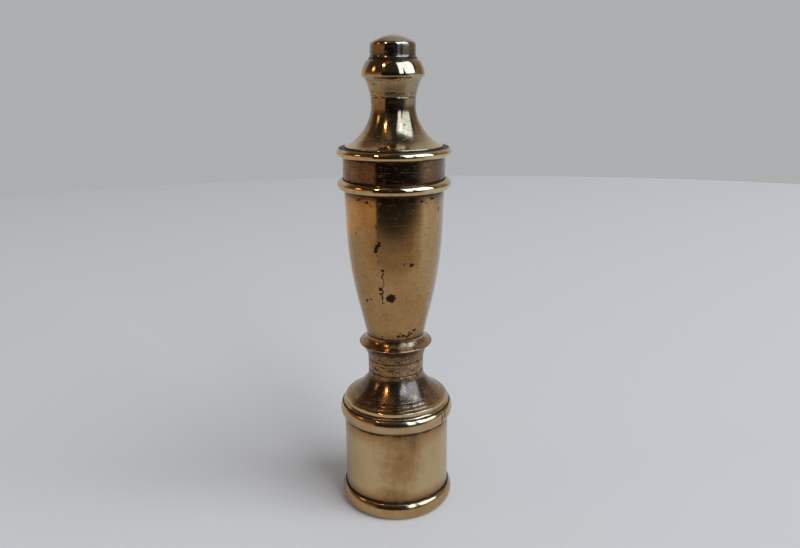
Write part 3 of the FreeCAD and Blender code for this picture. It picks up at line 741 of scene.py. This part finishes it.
UNDER_BEAD = [
    (-7.9, 79.6, 0.6, 0.2), (-6.1, 79.3, 0.35, 0.3), (-5.0, 78.6, 0.16, 0.5), (6.4, 79.4, 0.7, 0.25),
    (8.6, 79.7, 0.6, 0.2), (7.2, 78.8, 0.3, 0.25), (5.2, 79.6, 0.3, 0.3)]
vase_marks = ROUND_PIT + SPLIT_HEAD + SPLIT + SMALL_PITS + ROUND_FOOT + UNDER_BEAD

hopper.data.materials.append(brass(
    "hopper_brass", blotch=0.32, mottle=1.5, rings=0.26, dashes=0.8, pits=0.9, marks=vase_marks, mirror=0.07,
    satin=0.21, brushed=0.3, haze=0.02))

# %% [markdown]
# ## The head
# The head is what the hand turns: a flare, a slim neck with two turned lines, and a half-round knob. It is
# bored through for the spindle, with a shallow seat on top for a washer. A sphere and a cone could be joined
# for it, but the long cove of the neck is one bend in a section. It is polished by use, with a browner patch
# low on the front of the flare.

# %% Turn the head
LIP_TOP = HEAD_FOOT + 0.3
NECK_FOOT, NECK_TOP = LIP_TOP + 8.7, LIP_TOP + 9.4
KNOB_FOOT = NECK_TOP + 5.9
NECK, KNOB, KNOB_TOP, NUT_FLARE = 5.14, 7.2, 5.85, NUT + 0.25
STUD = 1.5
BORE, CLEARANCE, CLEARANCE_TOP = STUD + 0.24, 2.42, HEAD_FOOT + 4.0
WASHER, WASHER_LEVEL = 4.45, HEAD_TOP - 0.4
KNOB_EDGE, NUT_SEAT = HEAD_TOP - 0.4, HEAD_TOP + 0.07
IN_CLEARANCE, IN_BORE = 2.6, 2.0

head_section = outline(
    (CLEARANCE, CLEARANCE_TOP), (CLEARANCE, HEAD_FOOT), (LIP, HEAD_FOOT),
    bend((LIP, LIP_TOP), (NECK, LIP_TOP + 1.7), (NECK, NECK_FOOT), 0.6),
    bend((NECK, NECK_TOP), (NECK, KNOB_FOOT - 0.7), (KNOB - 0.12, KNOB_FOOT), 0.55),
    bend((KNOB, KNOB_FOOT + 0.4), (KNOB, HEAD_TOP - 0.1), (KNOB_TOP, KNOB_EDGE), 0.36),
    bend((KNOB_TOP, KNOB_EDGE), (NUT_FLARE, HEAD_TOP - 0.15), (NUT_FLARE, NUT_SEAT), 0.7),
    (WASHER, NUT_SEAT), (WASHER, WASHER_LEVEL), (BORE, WASHER_LEVEL), (BORE, CLEARANCE_TOP))
# At the knob's top edge round the nut the brown rises to 1.0: dirt, and painted shade there.
head_wear_and_shade = [
    (HEAD_FOOT, 0.55, 0.05), (LIP_TOP + 1.5, 0.5, 0.15), (LIP_TOP + 4.0, 0.6, 0.52),
    (NECK_TOP - 0.5, 0.75, 0.60), (NECK_TOP + 1.2, 0.75, 0.60), (NECK_TOP + 1.7, 0.35, 0.48),
    (KNOB_FOOT - 0.5, 0.4, 0.42), (KNOB_FOOT + 0.2, 0.95, 0.35), (HEAD_TOP - 0.9, 0.9, 0.40),
    (HEAD_TOP - 0.15, 0.4, 1.0)]
neck_lines = [(NECK_TOP + 1.5, 0.08, 0.13), (NECK_TOP + 2.6, 0.035, 0.09)]
HEAD_COLOURS = (0.58, 0.445, 0.265, 1), (0.36, 0.245, 0.125, 1), (0.12, 0.078, 0.045, 1)
head_stain = [(3.2, 92.4, 3.4, 1.7)]

head = turned("head_turning", head_section, head_wear_and_shade, [HEAD_FOOT, HEAD_TOP], neck_lines,
              lambda z: np.where(z < CLEARANCE_TOP, IN_CLEARANCE, IN_BORE))
head.data.materials.append(brass(
    "head_brass", HEAD_COLOURS, blotch=0.3, rings=1.2, dashes=1.3, pits=0.3, stains=head_stain, mirror=0.08,
    satin=0.22, haze=0.05))

# %% [markdown]
# ## The domed nut
# The nut on top sets how finely the mill grinds. It has a flared foot, a short wall and a domed top, and a
# bore from below that doesn't go through. So its section starts and ends on the axis, and two fans of
# triangles close the mesh there. Its brass is greyer and browner than the head's.

# %% Turn the nut
NUT_WALL_TOP, NUT_BORE, NUT_BORE_TOP = NUT_FOOT + 3.3, STUD + 0.08, NUT_TOP - 0.9
DOME, DOME_FOOT = NUT - 0.4, NUT_WALL_TOP + 0.2

nut_section = outline(
    (0, NUT_BORE_TOP), (NUT_BORE, NUT_BORE_TOP), (NUT_BORE, NUT_FOOT), (NUT_FLARE, NUT_FOOT),
    bend((NUT_FLARE, NUT_FOOT + 0.05), (NUT, NUT_FOOT + 0.15), (NUT, NUT_FOOT + 0.7), 0.7),
    bend((NUT, NUT_WALL_TOP - 0.5), (NUT, NUT_WALL_TOP), (DOME, DOME_FOOT)),
    bend((DOME, DOME_FOOT), (DOME / 2, NUT_TOP), (0, NUT_TOP), 1.0))
nut_wear = [(NUT_FOOT, 0.5, 0.9), (NUT_WALL_TOP - 0.6, 0.5, 0.6), (NUT_WALL_TOP, 0.9, 0.2),
            (NUT_WALL_TOP + 0.5, 0.6, 0.15), (NUT_TOP, 0.5, 0.05)]
NUT_COLOURS = (0.53, 0.415, 0.270, 1), (0.29, 0.205, 0.125, 1), (0.115, 0.080, 0.052, 1)

nut = turned("nut_domed", nut_section, nut_wear, [NUT_FOOT], poles=True)
nut.data.materials.append(brass(
    "nut_brass", NUT_COLOURS, blotch=0.4, rings=1.2, dashes=1.0, pits=0.5, satin=0.22))

# %% [markdown]
# ## The spindle
# Inside, a square steel bar runs from the burr cone up to the nut, with a thread at each end. A boolean of a
# screw and a bar would do it, but one formula gives its radius at every angle and height: a softened square
# in the middle, and on the threads a triangle wave that climbs one pitch for each turn.

# %% Draw the spindle
SIDE, SOFTNESS = 3.2, 14
PITCH, THREAD_DEPTH, TAPER = 0.5, 0.27, 0.3
SQUARE_FOOT, SQUARE_TOP, SHOULDER = 10.275, HEAD_FOOT + 1.3, 1e-4
SPINDLE_ROUND, BAR_ROWS, THREAD_ROWS = 96, 30, 8


def spindle_radius(angle, height):
    """On the bar: half the side over (|cos|^p + |sin|^p)^(1/p), with p the SOFTNESS. On a thread: the stud's
    radius less a triangle wave of height / pitch - angle / turn, and tapered over the last TAPER."""
    square = np.abs(np.cos(angle)) ** SOFTNESS + np.abs(np.sin(angle)) ** SOFTNESS
    bar = SIDE / 2 * square ** (-1 / SOFTNESS)
    wave = np.abs(2 * ((height / PITCH - angle / (2 * math.pi)) % 1) - 1)
    end = np.minimum(height - STUD_FOOT, STUD_TOP - height)
    thread = STUD - THREAD_DEPTH * wave - np.clip(TAPER - end, 0, TAPER)
    return np.where((height >= SQUARE_FOOT) & (height <= SQUARE_TOP), bar, thread)


lower = np.arange(STUD_FOOT, SQUARE_FOOT, PITCH / THREAD_ROWS)
upper = np.arange(STUD_TOP, SQUARE_TOP, -PITCH / THREAD_ROWS)[::-1]
middle = np.linspace(SQUARE_FOOT, SQUARE_TOP, BAR_ROWS)
spindle_heights = np.r_[lower, SQUARE_FOOT - SHOULDER, middle, SQUARE_TOP + SHOULDER, upper]
spindle_turn = np.linspace(0, 2 * math.pi, SPINDLE_ROUND, endpoint=False)
angles, heights = np.meshgrid(spindle_turn, spindle_heights)
radii = spindle_radius(angles, heights)
spindle_points = np.stack([radii * np.cos(angles), radii * np.sin(angles), heights], -1).reshape(-1, 3)
spindle_end = np.arange(SPINDLE_ROUND)
spindle_faces = grid_faces(len(spindle_heights), SPINDLE_ROUND, False).tolist()
spindle_faces += [spindle_end[::-1].tolist(), (spindle_end + len(spindle_points) - SPINDLE_ROUND).tolist()]
spindle = mesh_piece("spindle_bar", spindle_points, spindle_faces, {})

# %% [markdown]
# ## The spring
# The spring is a round wire carried along a coil: each point is on the wire's own circle, moved out by the
# coil's radius and up by the rise at that turn. A Screw modifier could wind it, but both ends lie flat, so
# that it stands square on its seats, and that needs a rise that isn't even.

# %% Coil the spring
WIRE, WIRE_ROUND = 0.7, 20
COIL = SPRING_OUTER - WIRE / 2
SPRING_TURNS, FLAT_TURNS, COIL_ROWS = 4.5, 0.75, 260

turns = np.linspace(0, SPRING_TURNS, COIL_ROWS)
climb = np.clip((turns - FLAT_TURNS) / (SPRING_TURNS - 2 * FLAT_TURNS), 0, 1)
rise = SPRING_FOOT + WIRE / 2 + climb * (SPRING_TOP - SPRING_FOOT - WIRE)
coil_turn = 2 * math.pi * turns[:, None]
wire_turn = np.linspace(0, 2 * math.pi, WIRE_ROUND, endpoint=False)
reach = COIL + WIRE / 2 * np.cos(wire_turn)
wire_height = rise[:, None] + WIRE / 2 * np.sin(wire_turn)
wire_points = np.stack([reach * np.cos(coil_turn), reach * np.sin(coil_turn), wire_height], -1).reshape(-1, 3)
wire_end = np.arange(WIRE_ROUND)
spring_faces = grid_faces(COIL_ROWS, WIRE_ROUND, False)[:, ::-1].tolist()
spring_faces += [wire_end.tolist(), (wire_end + len(wire_points) - WIRE_ROUND)[::-1].tolist()]
spring = mesh_piece("spring_coil", wire_points, spring_faces, {})

# %% [markdown]
# ## Steel, leather and plain inner brass
# The working parts have finishes of their own: drawn steel with fine lines along it, hardened burrs that are
# nearly black with lighter worn patches, brass as it left the lathe, and a washer of oiled leather. They show
# only when the head is lifted or from below, so a noise or two is enough for each.

# %% Inner finishes
def steel(name, colour, worn, rough, lines):
    """Grey metal with lines stretched by the vector lines, and lighter rubbed patches."""
    material, shader, place = finish(name)
    drawn = place.times(lines).noise(1.0, 4.0, 0.65)
    patches = place.noise(0.5, 4.0, 0.6)
    shade = (drawn * 0.6 + patches * 0.6).ramp(0.35, 0.85)
    feed(shader, Base_Color=shade.mix((*colour, 1), (*worn, 1)), Metallic=1.0,
         Roughness=rough + (patches - MEAN) * 0.25, Normal=drawn.bump(0.3, 0.03))
    return material


def lathe_brass(name, colour, brown):
    """Brass as it left the tool: rings about the axis in a plain warm metal."""
    material, shader, place = finish(name)
    radius = place.times((1, 1, 0)).length()
    rings = (radius * 7.0).join(0.0, 0.0).noise(1.0, 3.0, 0.6)
    patches = place.noise(0.45, 4.0, 0.6)
    shade = (patches + rings * 0.3).ramp(0.45, 0.9)
    feed(shader, Base_Color=shade.mix((*colour, 1), (*brown, 1)), Metallic=1.0,
         Roughness=0.30 + patches * 0.15, Normal=rings.bump(0.3, 0.03))
    return material


def leather(name, colour, fibre):
    """Dark oiled leather: fine grain, with lighter fibres at random."""
    material, shader, place = finish(name)
    grain = place.noise(5.0, 5.0, 0.7)
    feed(shader, Base_Color=grain.ramp(0.35, 0.75).mix((*colour, 1), (*fibre, 1)),
         Roughness=0.62 + grain * 0.2, Specular_IOR_Level=0.1, Normal=grain.bump(0.4, 0.05))
    return material


drawn_steel = steel("drawn_steel", (0.42, 0.41, 0.40), (0.60, 0.59, 0.57), 0.30, (9.0, 9.0, 0.5))
burr_steel = steel("burr_steel", (0.10, 0.095, 0.09), (0.36, 0.35, 0.34), 0.38, (3.0, 3.0, 3.0))
spring_wire = steel("spring_wire", (0.28, 0.27, 0.27), (0.46, 0.45, 0.44), 0.28, (5.0, 5.0, 9.0))
plain_brass = lathe_brass("plain_brass", (0.72, 0.53, 0.26), (0.45, 0.29, 0.13))
bronze = lathe_brass("bush_bronze", (0.60, 0.39, 0.20), (0.36, 0.20, 0.09))
washer_leather = leather("washer_leather", (0.020, 0.012, 0.008), (0.085, 0.050, 0.030))
print(len(bpy.data.materials), "materials so far")

# %% [markdown]
# ## Giving the finishes out
# Small plain parts such as washers, pins and screws look right as the solids made them, and so do the fluted
# burrs. They keep their meshes and only get a finish. The spindle and the spring are new pieces, and get
# their steel here too.

# %% Give the finishes out
node_finish = {
    "bearing_washer": washer_leather, "nut_washer": plain_brass, "drive_plate": plain_brass,
    "bridge": plain_brass, "bridge_bush": bronze, "plate_screws": drawn_steel, "locating_pins": drawn_steel,
    "thrust_washer": drawn_steel, "burr_washer": drawn_steel, "lock_washer": drawn_steel,
    "burr_nut": drawn_steel, "burr_cone": burr_steel, "burr_ring": burr_steel}
for node, material in node_finish.items():
    solid = frame["nodes"][node]
    solid.data.materials.clear()
    solid.data.materials.append(material)
spindle.data.materials.append(drawn_steel)
spring.data.materials.append(spring_wire)
print(len(node_finish), "solids keep their shape and get a finish")

# %% [markdown]
# ## Who moves with whom
# Each new piece rides on the body of the solid that it stands for. The spring is squeezed against the bridge
# when the adjusting nut draws the spindle up; here it only gets a mesh of its own, and the share of its
# length that it would keep at the finest setting is printed.

# %% Ride on the bodies
SPRING_LENGTH = SPRING_TOP - SPRING_FOOT
ADJUST = next(j for j in frame["joints"] if j["name"] == "grind_adjust")["range_m"][1] / MM
for piece, node, body, slot in [
        (base, "base_sleeve", "mill_body", "satin_brass"), (pedestal, "pedestal", "mill_body", "aged_brass"),
        (hopper, "hopper", "mill_body", "aged_brass"), (head, "head", "turning_head", "polished_brass"),
        (nut, "finial_nut", "adjuster", "polished_brass"),
        (spindle, "spindle", "grinding_spindle", "bright_steel"),
        (spring, "spring", "mill_body", "spring_steel")]:
    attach(piece, body)
    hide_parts(node)
1 - ADJUST / SPRING_LENGTH
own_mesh(spring)
print("spring keeps", round(1 - ADJUST / SPRING_LENGTH, 3), "of its length at the finest setting")

# %% [markdown]
# ## The table
# The mill stands on a plain pale round table, whose far edge meets the wall behind. A cylinder would do, but
# the same helper also makes the next sheet, which carries a colour at each of its points.

# %% Lay the table
TABLE_RADIUS, TABLE_CENTRE, TABLE_ROUND = 0.80, (0.04, -0.27), 180
TABLE_COLOUR = (0.595, 0.60, 0.615)


def stage_sheet(name, points, faces, tints=None):
    """A flat dull sheet in the table's colour or in tints, one colour for each point."""
    mesh = bpy.data.meshes.new(name)
    mesh.from_pydata(points, [], faces)
    material, shader = blank(name)
    colour = (*TABLE_COLOUR, 1)
    if tints is not None:
        opaque = np.column_stack([tints, np.ones(len(tints))]).astype(np.float32)
        mesh.attributes.new("tint", "FLOAT_COLOR", "POINT").data.foreach_set("color", opaque.ravel())
        colour = Signal(material.node_tree).carried("tint", "Color")
    feed(shader, Base_Color=colour, Roughness=0.9, Specular_IOR_Level=0.1)
    mesh.materials.append(material)
    sheet = bpy.data.objects.new(name, mesh)
    bpy.context.scene.collection.objects.link(sheet)
    print(name, len(mesh.polygons), "faces")
    return sheet


table_turn = np.linspace(0, 2 * math.pi, TABLE_ROUND, endpoint=False)
table_edge = np.column_stack([TABLE_CENTRE[0] + TABLE_RADIUS * np.cos(table_turn),
                              TABLE_CENTRE[1] + TABLE_RADIUS * np.sin(table_turn), 0 * table_turn])
stage_sheet("table", table_edge.tolist(), [list(range(TABLE_ROUND))])

# %% [markdown]
# ## Cards that only the brass sees
# Polished metal shows what is around it, so a product photographer lays cards round it. Here they are one
# sheet, just above the table, that only reflections can see: black in front, brown and tan on the left, pale
# on the right, painted as the daylit sheen of the cloth there, and lighter close to the mill, where two greys
# in front are painted as the soft shadow that someone at the camera casts on the table. Separate cards would
# do, but a hard edge looks like a facet on the vase, so the sheet is graded between its named colours.

# %% Grade the cards
BEARINGS = np.arange(-180, 180)
CARD_LIFT, CARD_SPREAD, SPREAD_BEARING = 0.0005, 0.15, 45
# The two greys in front, the lighter one nearer the mill, are painted shadow; the pale bluish colour on the
# right is painted daylit sheen.
BARE, BLACK, PAINTED_SHADOW, PAINTED_SHADOW_EDGE = TABLE_COLOUR, (0.010, 0.010, 0.010), (0.27, 0.24, 0.21), (0.38, 0.335, 0.29)
LEFT, RIGHT, DUSK, DIM = (0.50, 0.43, 0.36), (0.46, 0.43, 0.40), (0.12, 0.11, 0.10), (0.32, 0.30, 0.28)
TAN, BROWN, PAINTED_DAYLIT_SHEEN = (0.88, 0.75, 0.60), (0.70, 0.49, 0.30), (0.64, 0.72, 0.82)


def graded(*keys):
    """The colour at each of BEARINGS, in degrees right of the camera's side, in straight lines between keys
    of a bearing and its colour."""
    at, colours = zip(*keys)
    return np.column_stack([np.interp(BEARINGS, at, shade) for shade in zip(*colours)])


def near_ring(front):
    """The colours of a ring close to the mill, with its own colour in front, which is painted shadow."""
    return graded((-75, BARE), (-56, LEFT), (-48, LEFT), (-40, front), (41, front), (50, RIGHT), (58, RIGHT),
                  (70, PAINTED_DAYLIT_SHEEN), (150, PAINTED_DAYLIT_SHEEN), (170, BARE))


inner_ring = graded((60, BARE), (72, PAINTED_DAYLIT_SHEEN), (150, PAINTED_DAYLIT_SHEEN), (170, BARE))
far_ring = graded((-165, BARE), (-150, TAN), (-94, TAN), (-74, BROWN), (-43.5, BROWN), (-40.5, BLACK),
                  (48, BLACK), (55, DUSK), (63, DIM), (73, PAINTED_DAYLIT_SHEEN), (150, PAINTED_DAYLIT_SHEEN), (165, BARE))
card_rings = [(0.08, inner_ring), (0.105, inner_ring), (0.12, near_ring(PAINTED_SHADOW_EDGE)), (0.155, near_ring(PAINTED_SHADOW_EDGE)),
              (0.175, near_ring(PAINTED_SHADOW)), (0.222, near_ring(PAINTED_SHADOW)), (0.234, far_ring), (1.2, far_ring)]
card_turn = np.radians(BEARINGS)
spread = 1 + CARD_SPREAD * np.minimum(np.abs(BEARINGS) / SPREAD_BEARING, 1) ** 2
card_circle = np.column_stack([np.sin(card_turn), -np.cos(card_turn), 0 * card_turn]) * spread[:, None]
card_points = np.vstack([card_circle * away for away, _ in card_rings]) + (0, 0, CARD_LIFT)
card_faces = grid_faces(len(card_rings), len(BEARINGS), False)
cards = stage_sheet("cards", card_points.tolist(), card_faces.tolist(), np.vstack([c for _, c in card_rings]))
cards.visible_camera = cards.visible_diffuse = cards.visible_shadow = cards.visible_transmission = False

# %% [markdown]
# ## The room
# The room is a world with a direction in it: a pale wall behind the mill, warm wood on the left, a dim
# corner on the right, darkness behind the camera and a ceiling that is darkest over it. An image of a room
# would do this too, but colours mixed by direction need no file. The camera itself sees only a plain grey
# wall, and dull surfaces get an even grey light.

# %% The room
GREY_WALL, PALE_WALL, EVEN_GREY = (0.42, 0.425, 0.435, 1), (0.54, 0.545, 0.55, 1), (0.36, 0.36, 0.37, 1)
LOW_WOOD, HIGH_WOOD, CORNER = (0.56, 0.33, 0.18, 1), (0.16, 0.10, 0.064, 1), (0.30, 0.25, 0.18, 1)
DARK, CEILING, DARK_MIDDLE = (0.012, 0.010, 0.009, 1), (0.05, 0.045, 0.04, 1), 0.12

world = bpy.data.worlds.new("room")
bpy.context.scene.world = world
world.use_nodes = True
room = Signal(world.node_tree)
direction = room.make("ShaderNodeTexCoord", output="Generated")
dx, dy, dz = (direction.part(number) for number in range(3))
bearing = room.math("ARCTAN2", dx, 0 - dy)
off_dark = room.math("ABSOLUTE", bearing - DARK_MIDDLE)
sides = bearing.ramp(-0.1, 0.1).mix(dz.ramp(0.0, 0.2).mix(LOW_WOOD, HIGH_WOOD), CORNER)
walls = off_dark.ramp(2.1, 2.35).mix(off_dark.ramp(0.82, 0.92).mix(DARK, sides), PALE_WALL)
overhead = dy.ramp(0.0, 0.5).mix(CEILING, dx.ramp(-0.35, 0.05).mix(HIGH_WOOD, GREY_WALL))
around_mill = (dz - dy.ramp(0.2, 0.6) * 0.25).ramp(0.20, 0.42).mix(walls, overhead)
camera_ray = room.make("ShaderNodeLightPath", output="Is Camera Ray")
dull_ray = room.make("ShaderNodeLightPath", output="Is Diffuse Ray")
seen = camera_ray.mix(dull_ray.mix(around_mill, EVEN_GREY), GREY_WALL)
feed(world.node_tree.nodes["Background"], Color=seen)
print("the room has", len(world.node_tree.nodes), "nodes")

# %% [markdown]
# ## The window and the lamps
# A tall window with one bar stands in front on the right, and three small warm lamps hang on the left. Each
# pane could be one lamp, but it is drawn as two: one that only lights dull surfaces, and a bluer one just in
# front of it that only polished metal sees. So the light on the table and the brightness in the brass can be
# set apart.

# %% Hang the lamps
MILL_MIDDLE = Vector((0, 0, 0.06))
NEAR_PLACE, FAR_PLACE, NEAR_SIZE, FAR_SIZE = (31, 36), (66, 36), (0.52, 1.9), (1.44, 1.9)
LIT_AWAY, SEEN_AWAY, LAMP_AWAY = 2.05, 2.0, 1.1
DAYLIGHT, SKY, LAMPLIGHT = (0.92, 0.965, 1.0), (0.44, 0.635, 1.0), (1.0, 0.62, 0.30)


def lamp(name, place, away, size, power, colour, shape="RECTANGLE", lights=True, shines=True):
    """An area lamp that faces the mill from a place, which is a bearing (degrees right of the camera's side)
    and an elevation. It lights dull surfaces, shines in polished ones, or does both."""
    b, e = (math.radians(degrees) for degrees in place)
    offset = Vector((math.sin(b) * math.cos(e), -math.cos(b) * math.cos(e), math.sin(e))) * away
    data = bpy.data.lights.new(name, "AREA")
    data.shape, data.energy, data.color = shape, power, colour
    data.size, data.size_y = size
    light = bpy.data.objects.new(name, data)
    facing = offset.to_track_quat("Z", "Y").to_matrix().to_4x4()
    light.matrix_world = Matrix.Translation(MILL_MIDDLE + offset) @ facing
    light.visible_camera, light.visible_diffuse, light.visible_glossy = False, lights, shines
    bpy.context.scene.collection.objects.link(light)
    print(name, power, "W", away, "m away")


lamp("daylight_near", NEAR_PLACE, LIT_AWAY, NEAR_SIZE, 13.0, DAYLIGHT, shines=False)
lamp("daylight_far", FAR_PLACE, LIT_AWAY, FAR_SIZE, 35.5, DAYLIGHT, shines=False)
lamp("window_near", NEAR_PLACE, SEEN_AWAY, NEAR_SIZE, 17.5, SKY, lights=False)
lamp("window_far", FAR_PLACE, SEEN_AWAY, FAR_SIZE, 45.5, SKY, lights=False)
lamp("lamp_low", (-80, 26), LAMP_AWAY, (0.24, 0.24), 0.5, LAMPLIGHT, "ELLIPSE")
lamp("lamp_high", (-42, 46), LAMP_AWAY, (0.11, 0.11), 2.4, LAMPLIGHT, "ELLIPSE", lights=False)
lamp("lamp_glow", (-36, 66), LAMP_AWAY, (0.25, 0.60), 0.09, LAMPLIGHT, "ELLIPSE")

# %% [markdown]
# ## The camera
# The camera stands close to the mill, about as high as the foot of the nut, and looks down a little. Its
# place came from fitting the turned edges of the mill, so the lens needs no shift. A Track To constraint
# could aim it, but then its small roll couldn't be set.

# %% Place the camera
IMAGE_WIDTH, FOCAL_PIXELS, SENSOR_WIDTH, CLIP_START = 800, 742.1, 36.0, 0.005
CAMERA_BACK, CAMERA_HEIGHT = 172.6 * MM, 110.7 * MM
YAW, PITCH_DOWN, ROLL = (math.radians(degrees) for degrees in (0.40, 16.46, -0.45))

level = math.cos(PITCH_DOWN)
ahead = Vector((math.sin(YAW) * level, math.cos(YAW) * level, -math.sin(PITCH_DOWN)))
right = Vector((math.cos(YAW), -math.sin(YAW), 0))
above = right.cross(ahead)
rolled_right = right * math.cos(ROLL) + above * math.sin(ROLL)
rolled_up = above * math.cos(ROLL) - right * math.sin(ROLL)
view = Matrix((rolled_right, rolled_up, -ahead)).transposed().to_4x4()
camera_data = bpy.data.cameras.new("camera")
camera_data.sensor_width = SENSOR_WIDTH
camera_data.lens = FOCAL_PIXELS / IMAGE_WIDTH * SENSOR_WIDTH
camera_data.clip_start = CLIP_START
camera = bpy.data.objects.new("camera", camera_data)
camera.matrix_world = Matrix.Translation((0, -CAMERA_BACK, CAMERA_HEIGHT)) @ view
bpy.context.scene.collection.objects.link(camera)
bpy.context.scene.camera = camera
bpy.context.scene.view_settings.view_transform = "Standard"
print("lens", round(camera_data.lens, 2), "mm")

# %% [markdown]
# ## The last update
# The finished look should be as large as the solids and no larger. The view layer is updated last.

# %% Update the view layer
bpy.context.view_layer.update()
